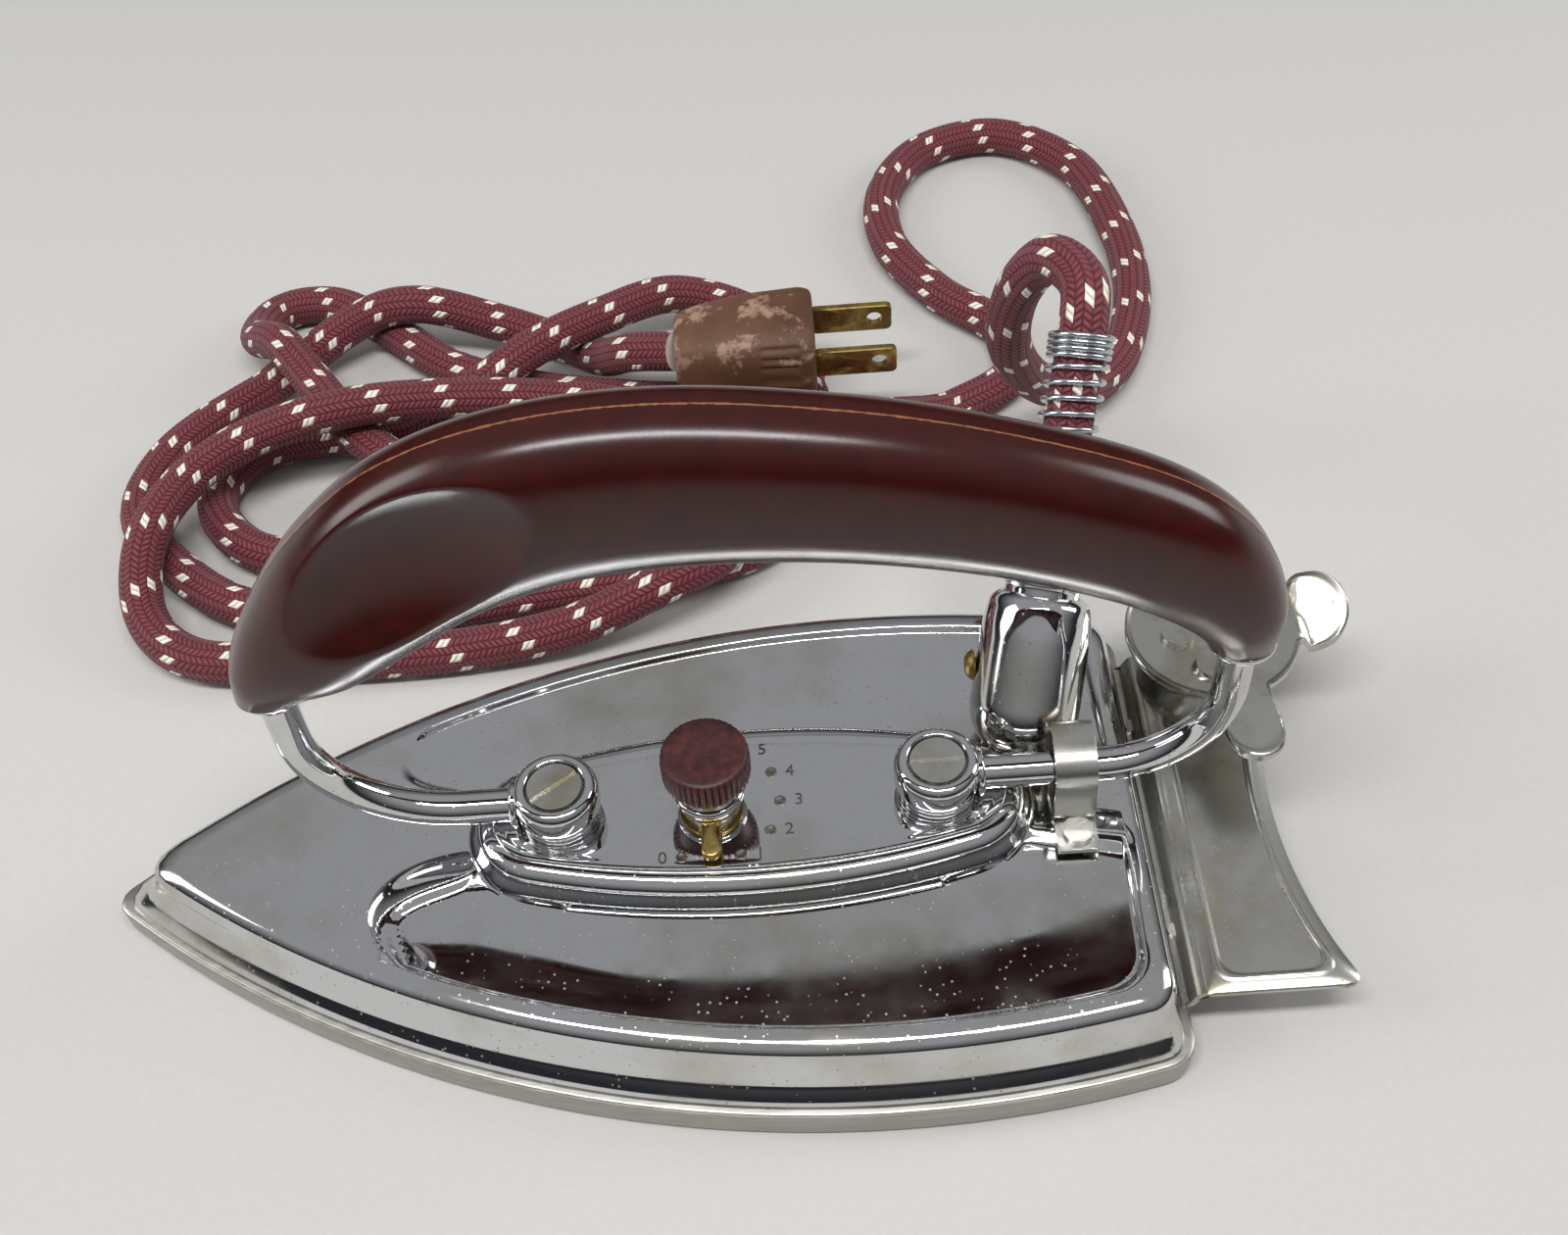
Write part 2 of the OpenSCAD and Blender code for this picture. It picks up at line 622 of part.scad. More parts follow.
module bail_clip() {
  inner = wire_r + run;
  outer = inner + clip_t;
  color("silver") difference() {
    union() {
      hinge_bar(clip_x - clip_w / 2, clip_x + clip_w / 2, outer);
      translate([clip_x - clip_w / 2, inner, cover_z]) cube([clip_w, clip_t, pivot_z - cover_z]);
      translate([clip_x - clip_w / 2, -outer, cover_z + clip_t + 0.6])
        cube([clip_w, clip_t, pivot_z - cover_z - clip_t - 0.6]);
      translate([clip_x - clip_w / 2, clip_foot_y, cover_z]) cube([clip_w, outer - clip_foot_y, clip_t]);
    }
    hinge_bar(clip_x - clip_w, clip_x + clip_w, inner);
    translate([clip_x - clip_w, -inner, cover_z + clip_t]) cube([2 * clip_w, 2 * inner, pivot_z - cover_z - clip_t]);
    clip_rivet_hole();
  }
}

module clip_rivet() {
  color("gray") translate([clip_x, rivet_y, cover_z + clip_t]) rivet(2.4, 1.5, clip_t + cover_t);
}

// The heel plate's outline: straight sides, and a hollow rear edge between its two corners
module heel_outline() {
  difference() {
    translate([heel_x, -34]) square([heel_reach, 68]);
    translate([heel_x + heel_reach + 67.3, 0]) circle(r = 76, $fn = 180);
  }
}

module heel_plate() {
  color("silver") difference() {
    union() {
      translate([0, 0, heel_z]) linear_extrude(heel_t) heel_outline();
      translate([heel_x, -30, sole_t]) cube([heel_t, 60, heel_z - sole_t + heel_t]);
      translate([sole_l / 2 - 1.6, -30, sole_t]) cube([heel_x - sole_l / 2 + 1.6 + heel_t, 60, heel_t]);
    }
    for (p = rest_rivets) translate([p[0], p[1], heel_z - 1]) cylinder(h = heel_t + 2, r = 1.6, $fn = 32);
  }
}

module heel_plate_rivets() {
  color("gray") for (y = [-20, 20]) translate([sole_l / 2 - 0.1, y, sole_t + heel_t]) cylinder(h = 0.6, r = 1.2, $fn = 32);
}

// The upper rest: a round plate with two rounded ears that the iron stands on
module heel_rest() {
  color("silver") translate([0, 0, rest_z]) difference() {
    union() {
      translate([rest_c[0], rest_c[1], 0]) cylinder(h = heel_t, r = rest_r, $fn = 96);
      rest_ear(-82, 26.2, 4.7);
      rest_ear(8, 23.5, 5.6);
    }
    for (p = rest_rivets) translate([p[0], p[1], -1]) cylinder(h = heel_t + 2, r = 1.6, $fn = 32);
  }
}

module rest_ear(a, reach, r) {
  translate([rest_c[0], rest_c[1], 0]) rotate([0, 0, a]) {
    translate([0, -r, 0]) cube([reach - r, 2 * r, heel_t]);
    translate([reach - r, 0, 0]) cylinder(h = heel_t, r = r, $fn = fine);
  }
}

module heel_rest_rivets() {
  color("gray") for (p = rest_rivets) translate([p[0], p[1], 0]) {
    translate([0, 0, rest_z + heel_t]) cylinder(h = 1, r = 2.8, $fn = 32);
    translate([0, 0, heel_z]) cylinder(h = rest_z + heel_t - heel_z + eps, r = 1.6, $fn = 32);
    translate([0, 0, heel_z + heel_t]) cylinder(h = rest_z - heel_z - heel_t, r = 3, $fn = 32);
  }
}

// ---- bail and handle ----

// One end of the bail: along the hinge axis, round a bend, and up into the grip
module bail(stop_x, up_x, bend_r, top_z) {
  s = up_x < stop_x ? -1 : 1;
  turn_x = up_x - s * bend_r;
  color("gainsboro") {
    hinge_bar(min(stop_x, turn_x), max(stop_x, turn_x), wire_r);
    translate([turn_x, 0, pivot_z + bend_r]) rotate([90, 0, 0])
      rotate([0, 0, s < 0 ? 180 : 270]) rotate_extrude(angle = 90, $fn = 96) translate([bend_r, 0]) circle(r = wire_r, $fn = 48);
    translate([up_x, 0, pivot_z + bend_r]) cylinder(h = top_z - pivot_z - bend_r, r = wire_r, $fn = fine);
  }
}

module front_bail() {
  bail(post_x[0] - wire_stop, front_x, front_bend_r, front_grip_z + wire_in);
}

module rear_bail() {
  bail(post_x[1] + wire_stop, rear_x, rear_bend_r, rear_grip_z + wire_in);
}

// One ring of the grip, from a station of the list
function grip_ring(s) =
  let (cx = (s[0] + s[2]) / 2, cz = (s[1] + s[3]) / 2,
       hx = (s[2] - s[0]) / 2, hz = (s[3] - s[1]) / 2, b = s[4] * grip_w / 2)
  [for (k = [0:19]) let (a = 360 * k / 20, c = cos(a), n = sin(a),
      u = sign(n) * pow(abs(n), 0.85), v = sign(c) * pow(abs(c), 0.85))
    [cx + hx * u, -b * v, cz + hz * u]];

module handle_grip() {
  color("maroon") difference() {
    skin([for (s = curve(grip_stations, 2)) grip_ring(s)]);
    translate([front_x, 0, front_grip_z - 3]) cylinder(h = wire_in + 3, r = wire_r, $fn = fine);
    translate([rear_x, 0, rear_grip_z - 3]) cylinder(h = wire_in + 3, r = wire_r, $fn = fine);
  }
}

module ferrule(x, z, r1, r2, h) {
  color("gainsboro") translate([x, 0, z - h]) difference() {
    cylinder(h = h, r1 = r1, r2 = r2, $fn = fine);
    translate([0, 0, -1]) cylinder(h = h + 2, r = wire_r, $fn = fine);
  }
}

module front_ferrule() {
  ferrule(front_x, front_grip_z, 4, 5, 2.4);
}

module rear_ferrule() {
  ferrule(rear_x, rear_grip_z, 5.2, 5.2, 1);
}

soleplate();
lower_mica();
heating_element();
upper_mica();
pressure_plate();
pressure_screws();
top_cover();
dial_plate();
front_post();
rear_post();
post_screws();
shaft_bushing();
thermostat_bracket();
bimetal_strip();
contact_block();
contact_arm();
contact_points();
terminal_block();
terminal_screws();
supply_leads();
cord_hood();
hood_screw();
cord_tube();
strain_relief_spring();
cord();
plug_body();
plug_blades();
bail_clip();
clip_rivet();
heel_plate();
heel_plate_rivets();
heel_rest();
heel_rest_rivets();
front_bail();
rear_bail();
handle_grip();
front_ferrule();
rear_ferrule();
thermostat_shaft();
pointer();
knob_collar();
knob();
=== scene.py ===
# %% [markdown]
# # A folding travel iron
#
# The iron stands on its sole with the handle up and the cord heaped behind it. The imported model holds
# every size, so this file only makes the surfaces and finishes, and takes its places from the frame.
# Lengths are in millimetres until a mesh is made, because that is how a maker thinks of an iron.

# %% The frame
import json
import math

import bpy
import numpy as np
from mathutils import Matrix, Vector


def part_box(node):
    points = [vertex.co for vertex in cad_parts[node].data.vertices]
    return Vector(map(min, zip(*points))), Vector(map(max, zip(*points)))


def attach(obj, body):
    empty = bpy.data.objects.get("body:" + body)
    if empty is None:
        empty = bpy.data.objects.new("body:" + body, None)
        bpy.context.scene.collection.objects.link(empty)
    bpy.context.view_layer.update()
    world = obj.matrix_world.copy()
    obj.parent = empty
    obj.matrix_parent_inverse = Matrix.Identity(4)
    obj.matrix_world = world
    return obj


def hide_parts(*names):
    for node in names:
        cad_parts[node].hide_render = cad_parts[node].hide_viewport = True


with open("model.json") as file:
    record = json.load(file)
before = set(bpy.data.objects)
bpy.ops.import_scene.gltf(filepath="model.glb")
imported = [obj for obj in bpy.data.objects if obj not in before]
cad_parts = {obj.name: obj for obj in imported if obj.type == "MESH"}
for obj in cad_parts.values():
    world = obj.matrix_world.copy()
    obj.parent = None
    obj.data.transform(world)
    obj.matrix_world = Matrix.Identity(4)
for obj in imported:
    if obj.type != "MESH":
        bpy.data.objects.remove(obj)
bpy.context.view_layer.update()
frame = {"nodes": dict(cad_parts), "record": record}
MM = 0.001


# %% [markdown]
# ## The camera
#
# The iron is seen from above and in front, a little from the left, with the horizon slightly turned, so
# the camera's three turns are given one by one.

# %% Camera
CAMERA_AT = (29.94, -163.32, 265.03)
PITCH, TURN, ROLL = (math.radians(a) for a in (50.41, -0.71, -4.56))
look = Vector((math.sin(TURN) * math.cos(PITCH), math.cos(TURN) * math.cos(PITCH), -math.sin(PITCH)))
level = Vector((math.cos(TURN), -math.sin(TURN), 0))
steep = level.cross(look)
cam_x = level * math.cos(ROLL) + steep * math.sin(ROLL)
cam_y = steep * math.cos(ROLL) - level * math.sin(ROLL)
scene = bpy.context.scene
camera = bpy.data.objects.new("camera", bpy.data.cameras.new("camera"))
scene.collection.objects.link(camera)
camera.matrix_world = Matrix.Translation(Vector(CAMERA_AT) * MM) @ Matrix((cam_x, cam_y, -look)).transposed().to_4x4()
camera.data.lens = 41.98
camera.data.clip_start = 0.01
scene.camera = camera


# %% [markdown]
# ## Surfaces from numbers
#
# Every piece is a grid of points: rows that follow each other, and columns that go round, like a tube. A
# fan closes each end. The signed volume tells whether the faces look outwards, and they are turned round
# if they don't.

# %% Meshes
def grid_faces(rows, columns):
    """Four corners for each cell of a grid whose last column joins the first."""
    i, j = np.divmod(np.arange((rows - 1) * columns), columns)
    k = (j + 1) % columns
    return np.stack([i * columns + j, i * columns + k, (i + 1) * columns + k, (i + 1) * columns + j], -1)


def placed(name, data):
    """An object that holds the data, in the scene."""
    made = bpy.data.objects.new(name, data)
    scene.collection.objects.link(made)
    return made


def make_piece(name, points, faces, corner_uv=None, sharp=38, outward=True):
    """A mesh object from points in millimetres. Volume is the sum of each face's share, p0 . (p1 x p2) / 6."""
    points = np.asarray(points, float)
    if outward:
        volume = 0.0
        for size in {len(face) for face in faces}:
            f = np.array([face for face in faces if len(face) == size])
            a, b, c = points[f[:, :1]], points[f[:, 1:-1]], points[f[:, 2:]]
            volume += np.sum(a * np.cross(b, c))
        if volume < 0:
            faces = [face[::-1] for face in faces]
            corner_uv = None if corner_uv is None else [uv[::-1] for uv in corner_uv]
    mesh = bpy.data.meshes.new(name)
    mesh.from_pydata((points * MM).tolist(), [], faces)
    if corner_uv is not None:
        layer = mesh.uv_layers.new(name="lie")
        layer.data.foreach_set("uv", np.array([c for uv in corner_uv for c in uv], np.float32).ravel())
    mesh.shade_smooth()
    mesh.set_sharp_from_angle(angle=math.radians(sharp))
    return placed(name, mesh)


def grid_piece(name, grid, caps=True, uv=None, sharp=38):
    """A grid (rows, columns, 3) as a piece. uv gives (along, round) for rows and columns; caps are fans or flat."""
    rows, columns = grid.shape[:2]
    points, faces = grid.reshape(-1, 3), grid_faces(rows, columns).tolist()
    corners = None
    if uv is not None:
        along, round_ = uv
        edge = np.append(round_, 2 * round_[-1] - round_[-2])
        i, j = np.divmod(np.arange(len(faces)), columns)
        u = np.stack([along[i], along[i], along[i + 1], along[i + 1]], 1)
        v = np.stack([edge[j], edge[j + 1], edge[j + 1], edge[j]], 1)
        corners = list(np.stack([u, v], -1))
    if caps == "flat":
        faces += [list(range(columns))[::-1], list(range((rows - 1) * columns, rows * columns))]
    elif caps:
        near = np.arange(columns)
        following = (near + 1) % columns
        for row, one, two in ((0, following, near), (rows - 1, near, following)):
            fan = np.stack([row * columns + one, row * columns + two, np.full(columns, len(points))], 1)
            points = np.vstack([points, grid[row].mean(0)])
            faces += fan.tolist()
            if corners is not None:
                corners += [np.full((3, 2), (along[row], 0.0))] * columns
    return make_piece(name, points, faces, corners, sharp)


wearers = []


def on_body(piece, body, slot, *nodes):
    """The piece rides on a body, takes the finish of a slot and stands for the nodes."""
    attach(piece, body)
    wearers.append((piece, slot))
    if nodes:
        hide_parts(*nodes)
    return piece


def box_mm(node):
    """A node's lowest and highest corner in millimetres."""
    return tuple(np.array(corner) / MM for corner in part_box(node))


# %% [markdown]
# ## Curves that carry a section
#
# A smooth curve runs through given points, each stretch a cubic that leaves a point in the
# direction of its neighbours. Two directions square to the curve are carried from ring to ring with as
# little turn as possible, so that a pattern on the swept surface doesn't twist.

# %% Curves and sweeps
def smooth_curve(points, steps):
    """The Catmull-Rom cubic through each point, with a number of steps between two."""
    p = np.asarray(points, float)
    p = np.vstack([p[:1], p, p[-1:]])
    a, b, c, d = (p[i:len(p) - 3 + i, None] for i in range(4))
    t = np.linspace(0, 1, steps, endpoint=False)[None, :, None]
    curve = 0.5 * (2 * b + (c - a) * t + (2 * a - 5 * b + 4 * c - d) * t ** 2 + (3 * b - a - 3 * c + d) * t ** 3)
    return np.vstack([curve.reshape(-1, p.shape[1]), p[-1:]])


def circle(count):
    """Angles once round, in equal steps."""
    return np.linspace(0, 2 * np.pi, count, endpoint=False)


def squarer(value, power):
    """A cosine or sine raised to a power with its sign kept, which turns an ellipse into a superellipse."""
    return np.sign(value) * np.abs(value) ** power


def offset(line, distance):
    """For each point of a flat line, the step of a given length to its left."""
    along = np.gradient(line, axis=0)
    along /= np.linalg.norm(along, axis=1, keepdims=True)
    return np.stack([-along[:, 1], along[:, 0]], 1) * distance


def lengths(path):
    """Distance along a path at each of its points."""
    return np.concatenate([[0], np.cumsum(np.linalg.norm(np.diff(path, axis=0), axis=1))])


def even(path, step):
    """The path with points at equal distances of about one step."""
    s = lengths(path)
    at = np.linspace(0, s[-1], max(2, int(round(s[-1] / step)) + 1))
    return np.stack([np.interp(at, s, path[:, k]) for k in range(path.shape[1])], 1)


def carried_frames(path, start=(0, 0, 1)):
    """Two directions square to the path at each point; each is the last one with its lean along the path removed."""
    along = np.gradient(path, axis=0)
    along /= np.linalg.norm(along, axis=1, keepdims=True)
    side, last = [], np.array(start, float)
    for direction in along:
        last = last - direction * (last @ direction)
        last /= np.linalg.norm(last)
        side.append(last)
    side = np.array(side)
    return side, np.cross(along, side)


def tube_grid(path, radius, around, start=(0, 0, 1)):
    """Rings round a path: centre + radius (cos a side + sin a other). The radius may change along it."""
    side, other = carried_frames(path, start)
    a = circle(around)
    r = np.broadcast_to(np.asarray(radius, float), len(path))[:, None, None]
    ring = np.cos(a)[None, :, None] * side[:, None] + np.sin(a)[None, :, None] * other[:, None]
    return path[:, None] + r * ring


def lathe_grid(profile, around, at=(0, 0, 0), axis=(0, 0, 1)):
    """A profile of (radius, height) turned about an axis."""
    profile = np.asarray(profile, float)
    axis = np.array(axis, float) / np.linalg.norm(axis)
    side = np.cross(axis, [0, 1, 0.01])
    side /= np.linalg.norm(side)
    other = np.cross(axis, side)
    a = circle(around)[None, :, None]
    ring = np.cos(a) * side + np.sin(a) * other
    return np.array(at, float) + profile[:, 1, None, None] * axis + profile[:, 0, None, None] * ring


def rounding(before, corner, after, radius, steps, most=0.49):
    """A short curve in place of a corner: a parabola between points on its two sides."""
    t = np.linspace(0, 1, steps)[:, None]
    a, b = (corner + (p - corner) * min(radius / np.linalg.norm(p - corner), most) for p in (before, after))
    return (1 - t) ** 2 * a + 2 * t * (1 - t) * corner + t ** 2 * b


def rounded(corners, radius, steps=5):
    """An open profile with each inner corner rounded."""
    p = np.asarray(corners, float)
    return np.vstack([p[:1], *(rounding(*three, radius, steps) for three in zip(p[:-2], p[1:-1], p[2:])), p[-1:]])


# %% [markdown]
# ## The cord
#
# The route is listed: out of the hood's spring, down to the table, one wide loop at the heel, and
# a loose heap that ends in the plug. Where the cord crosses itself it makes a long low hump. The points
# are the same as in the frame's own tube.

# %% Cord route
HOOD_AT = np.array([66.5, 16.5, 27.0])
RISE, LEAN = math.radians(45), math.radians(17)
HOOD_AXIS = np.array([math.cos(RISE) * math.sin(LEAN), math.cos(RISE) * math.cos(LEAN), math.sin(RISE)])
HOOD_RUN, TUBE_OUT, TUBE_FLOOR, SPRING_L = 15, 9, 3, 36
CORD_START = HOOD_RUN + TUBE_OUT - TUBE_FLOOR
PLUG_AT = np.array([9.0, 113.0, 17.0])
ROUTE = np.array([  # x, y, z of each point
    79, 63, 71,  75, 71, 69,  71, 76, 58,  71, 81, 42,  78, 91, 23,  90, 103, 8,  100, 116, 4,  106, 136, 4,
    106, 158, 4,  100, 181, 4,  84, 194, 4,  66, 190, 4,  56, 175, 4,  56, 157, 4,  65, 140, 4,  77, 127, 4,
    77, 113, 4,  64, 104, 4,  50, 98, 9,  32, 95, 12,  11, 99, 12,  -12, 105, 13,  -35, 104, 17,  -56, 100, 20,
    -74, 97, 17,  -87, 89, 14,  -93, 75, 12,  -92, 61, 6,  -81, 52, 4,  -59, 50, 4,  -35, 50, 4,  -13, 52, 6,
    4, 56, 11,  17, 63, 12,  23, 74, 12,  14, 84, 12,  -3, 85, 12,  -25, 87, 12,  -43, 92, 10,  -55, 101, 12,
    -64, 114, 13,  -73, 127, 14,  -81, 138, 7,  -78, 149, 4,  -66, 150, 4,  -53, 140, 4,  -39, 127, 4,
    -22, 119, 4,  -2, 114, 4,  14, 110, 4,  17, 97, 4,  6, 88, 4,  -14, 84, 4,  -36, 79, 4,  -58, 75, 4,
    -75, 79, 4,  -84, 92, 4,  -78, 105, 4,  -63, 109, 4,  -46, 107, 5,  -32, 113, 11,  -20, 122, 13,
    -7, 131, 12,  8, 140, 9,  24, 138, 4,  33, 124, 4,  36, 104, 4,  35, 85, 4,  24, 71, 4,  4, 65, 4,
    -22, 62, 4,  -48, 59, 4,  -72, 63, 4,  -88, 74, 4,  -99, 90, 4,  -95, 108, 4,  -79, 124, 4,  -60, 138, 9,
    -46, 139, 12,  -29, 137, 7,  -15, 132, 4,  -7, 124, 7,  0, 117, 14,  9, 113, 17]).reshape(-1, 3).tolist()
CORD_D = 8.0


def hood_point(s):
    """A point on the hood's sloping axis."""
    return HOOD_AT + s * HOOD_AXIS


in_spring = [hood_point(CORD_START + share * (SPRING_L + 1)) for share in (0, 0.5, 1)]
cord_path = smooth_curve(in_spring + ROUTE, 24)
cord_path[:, 2] = np.maximum(cord_path[:, 2], CORD_D / 2)  # it lies on the table, not in it
cord_path = even(cord_path, 1.2)
CORD_SIDES = 28
cord = grid_piece("braided_cord", tube_grid(cord_path, CORD_D / 2, CORD_SIDES),
                  uv=(lengths(cord_path), np.arange(CORD_SIDES) / CORD_SIDES))
on_body(cord, "root", "braid", "cord")


# %% [markdown]
# ## The soleplate
#
# The sole's plan is two long arcs that meet in a small round at the tip. Each ring of the loft is the same
# plan, drawn in by a little, so the edges come out rounded.

# %% Plan of the body
SOLE_LO, SOLE_HI = box_mm("soleplate")
SOLE_L, SOLE_W, SOLE_T = SOLE_HI - SOLE_LO
WIDEST_X, TIP_R = 40.0, 3.0
ARC_C = ((WIDEST_X + SOLE_L / 2 - TIP_R) ** 2 - (SOLE_W / 2 - TIP_R) ** 2) / (SOLE_W - 2 * TIP_R)
ARC_R = ARC_C + SOLE_W / 2


def arc(centre, radius, start, stop, count):
    """Points on an arc between two angles in radians, the last one left out."""
    a = np.linspace(start, stop, count, endpoint=False)
    return np.stack([centre[0] + radius * np.cos(a), centre[1] + radius * np.sin(a)], 1)


def half_plan(side, heel, tip, corner):
    """Half of the body's plan, tip to heel: tip round, long arc, corner round and the heel's edge."""
    r = ARC_R - side
    tip_x = WIDEST_X - math.sqrt((r - tip) ** 2 - ARC_C ** 2)
    heel_x = SOLE_L / 2 - heel
    corner_y = math.sqrt((r - corner) ** 2 - (heel_x - corner - WIDEST_X) ** 2) - ARC_C
    a_tip = math.atan2(ARC_C, tip_x - WIDEST_X)
    a_heel = math.atan2(corner_y + ARC_C, heel_x - corner - WIDEST_X)
    edge = np.linspace([heel_x, corner_y], [heel_x, 0], 12)
    return np.vstack([arc((tip_x, 0), tip, math.pi, a_tip, 9), arc((WIDEST_X, -ARC_C), r, a_tip, a_heel, 90),
                      arc((heel_x - corner, corner_y), corner, a_heel, 0, 14), edge])


def at_shares(half, shares):
    """Points of a half plan at given shares of its length."""
    s = lengths(half)
    return np.stack([np.interp(shares * s[-1], s, half[:, k]) for k in (0, 1)], 1)


def whole(half, z):
    """A half plan and its mirror image as one closed ring at a height, which may change along it."""
    z = np.broadcast_to(z, len(half))
    left = np.column_stack([half, z])
    right = left[-2:0:-1] * [1, -1, 1]
    return np.vstack([left, right])


# %% Soleplate
sole_shares = np.linspace(0, 1, 160)
sole_rings = [(6, 0.0), (1.0, 0.0), (0.45, 0.12), (0.12, 0.45), (0, 1.0), (0, SOLE_T - 0.8), (0.1, SOLE_T - 0.5),
              (0.35, SOLE_T - 0.35), (0.4, SOLE_T - 0.1), (0.7, SOLE_T), (6, SOLE_T)]
on_body(grid_piece("sole", np.stack([
    whole(at_shares(half_plan(inset, inset, TIP_R, 5.5), sole_shares), z) for inset, z in sole_rings])),
    "root", "sole_metal", "soleplate")


# %% [markdown]
# ## The cover
#
# One sheet is pressed into a skirt, a rolled shoulder, two sunk panels and a raised pedestal. The grid's
# rows run from the skirt to the pedestal, and its columns fan out from the pedestal to the rim, so the
# edges of the panels lie along the grid. It is finer where the sheet bends. Solidify makes it thick.

# %% Pedestal's plan
COVER_Z, DIAL_X = 17.5, 20.0
PEDESTAL_HL, PEDESTAL_HW, LENS_TIP_R = 45.0, 16.5, 12.0
SHOULDER_Z = COVER_Z - 3


def half_eye(hl, hw, r):
    """Half of an eye shape, front to rear: a small round, a long arc and a small round."""
    c = ((hl - r) ** 2 - (hw - r) ** 2) / (2 * (hw - r))
    end = math.atan2(c, r - hl)
    return np.vstack([arc((r - hl, 0), r, math.pi, end, 16), arc((0, -c), c + hw, end, math.pi - end, 60),
                      arc((hl - r, 0), r, math.pi - end, 0, 16), [[hl, 0]]]) + [DIAL_X, 0]


def step(x, width):
    """A smooth step from 0 to 1 over a width."""
    t = np.clip(x / width, 0, 1)
    return t * t * (3 - 2 * t)


# %% Cover
PANEL_FRONT, PANEL_REAR, PANEL_DEPTH = 0.15, 0.9, 1.0
RIM_SHARES = ([0, PANEL_FRONT, PANEL_REAR, 1], [0, 0.23, 0.96, 1])
EYE_SHARES = ([0, PANEL_FRONT, PANEL_REAR, 1], [0, 0.06, 0.95, 1])
columns = np.unique(np.concatenate([
    np.linspace(0, 1, 150), np.linspace(0.09, 0.2, 70), np.linspace(0.86, 0.93, 30)]))
rim_at = np.interp(columns, *RIM_SHARES)
eye_at = np.interp(columns, *EYE_SHARES)


def panel_depth(across):
    """How far the sheet is sunk at a share of the way from the shoulder to the pedestal."""
    front = PANEL_FRONT - 0.045 * math.sin(math.pi * across)
    return PANEL_DEPTH * step(columns - front, 0.007 + 0.03 * across ** 2) * \
        step(PANEL_REAR - columns, 0.025) * float(step(across - 0.015, 0.06))


SKIRT_RINGS = [(1.2, 1.6, 0.02), (1.5, 1.8, 0.6), (2.1, 2.0, 1.6), (3.0, 2.3, 2.6), (3.8, 2.6, 3.8), (4.3, 2.8, 5.2)]
SHOULDER_RINGS = [(4.6, 2.9, -2.0), (4.7, 3.0, -1.1), (4.8, 3.0, -0.2), (5.0, 3.2, 0.7), (5.5, 3.7, 1.5),
                  (6.3, 4.4, 2.1), (7.3, 5.4, 2.42), (8.4, 6.5, 2.56)]
rings = [whole(at_shares(half_plan(side, heel, 3 + side * 0.2, 4 + side * 0.3), rim_at), base + z)
         for base, group in ((SOLE_T, SKIRT_RINGS), (SHOULDER_Z, SHOULDER_RINGS)) for side, heel, z in group]
rim = at_shares(half_plan(8.4, 6.5, 4.7, 6.5), rim_at)
foot = at_shares(half_eye(PEDESTAL_HL + 0.8, PEDESTAL_HW + 0.8, LENS_TIP_R), eye_at)
CROWN = 0.4
for across in np.concatenate([np.linspace(0.012, 0.09, 10), np.linspace(0.12, 1, 20)]):
    rings.append(whole(rim + (foot - rim) * across, COVER_Z - CROWN * (1 - across) ** 2 - panel_depth(across)))
PEDESTAL_RINGS = [(0.35, 0.12), (0, 0.5), (-0.35, 1.0), (-0.7, 1.9), (-1.1, 2.9), (-1.6, 3.6), (-2.3, 4.1),
                  (-3.0, 4.38), (-3.6, 4.5), (-4.6, 4.5), (-8, 4.5), (-12.5, 4.5)]
for out, height in PEDESTAL_RINGS:
    r = max(LENS_TIP_R + out, 0.8)
    eye = at_shares(half_eye(PEDESTAL_HL + out, PEDESTAL_HW + out, r), eye_at)
    sunk = panel_depth(1.0) * max(0, 1 - height / 2.5)
    rings.append(whole(eye, COVER_Z + height - sunk))
cover_grid = np.stack(rings)
rows, around = cover_grid.shape[:2]
last = (rows - 1) * around
seam = np.arange(1, around // 2)
lid = np.stack([last + seam, last + seam + 1, last + (around - seam - 1) % around, last + around - seam], 1)
cover_faces = grid_faces(rows, around).tolist() + lid[:-1].tolist() + [
    [last, last + 1, last + around - 1], [last + around // 2 - 1, last + around // 2, last + around // 2 + 1]]
cover = make_piece("cover", cover_grid.reshape(-1, 3), [face[::-1] for face in cover_faces], outward=False, sharp=60)
sheet = cover.modifiers.new("sheet", "SOLIDIFY")
sheet.thickness, sheet.offset = 0.8 * MM, -1
on_body(cover, "root", "chrome", "top_cover")
print("cover", len(cover_faces), "faces")


# %% [markdown]
# ## The dial plate
#
# A thin bright lens-shaped plate lies on the pedestal. Six marks stand round the shaft, each a small sunk
# dot with a plain number beside it.

# %% Dial plate
DIAL_LO, DIAL_HI = box_mm("dial_plate")
DIAL_Z = DIAL_HI[2]
DIAL_HL, DIAL_HW = (DIAL_HI[0] - DIAL_LO[0]) / 2, (DIAL_HI[1] - DIAL_LO[1]) / 2
plate_rings = [(4, 0.0), (0.1, 0.0), (0, 0.1), (0, 0.5), (0.12, 0.7), (0.4, 0.8), (1.2, 0.8),
               (1.5, 0.72), (1.8, 0.8), (4, 0.8)]
plate_shares = np.linspace(0, 1, 110)
on_body(grid_piece("dial_face", np.stack([
    whole(at_shares(half_eye(DIAL_HL - inset, DIAL_HW - inset, 8.5 - inset), plate_shares), DIAL_LO[2] + z)
    for inset, z in plate_rings])), "root", "chrome", "dial_plate")

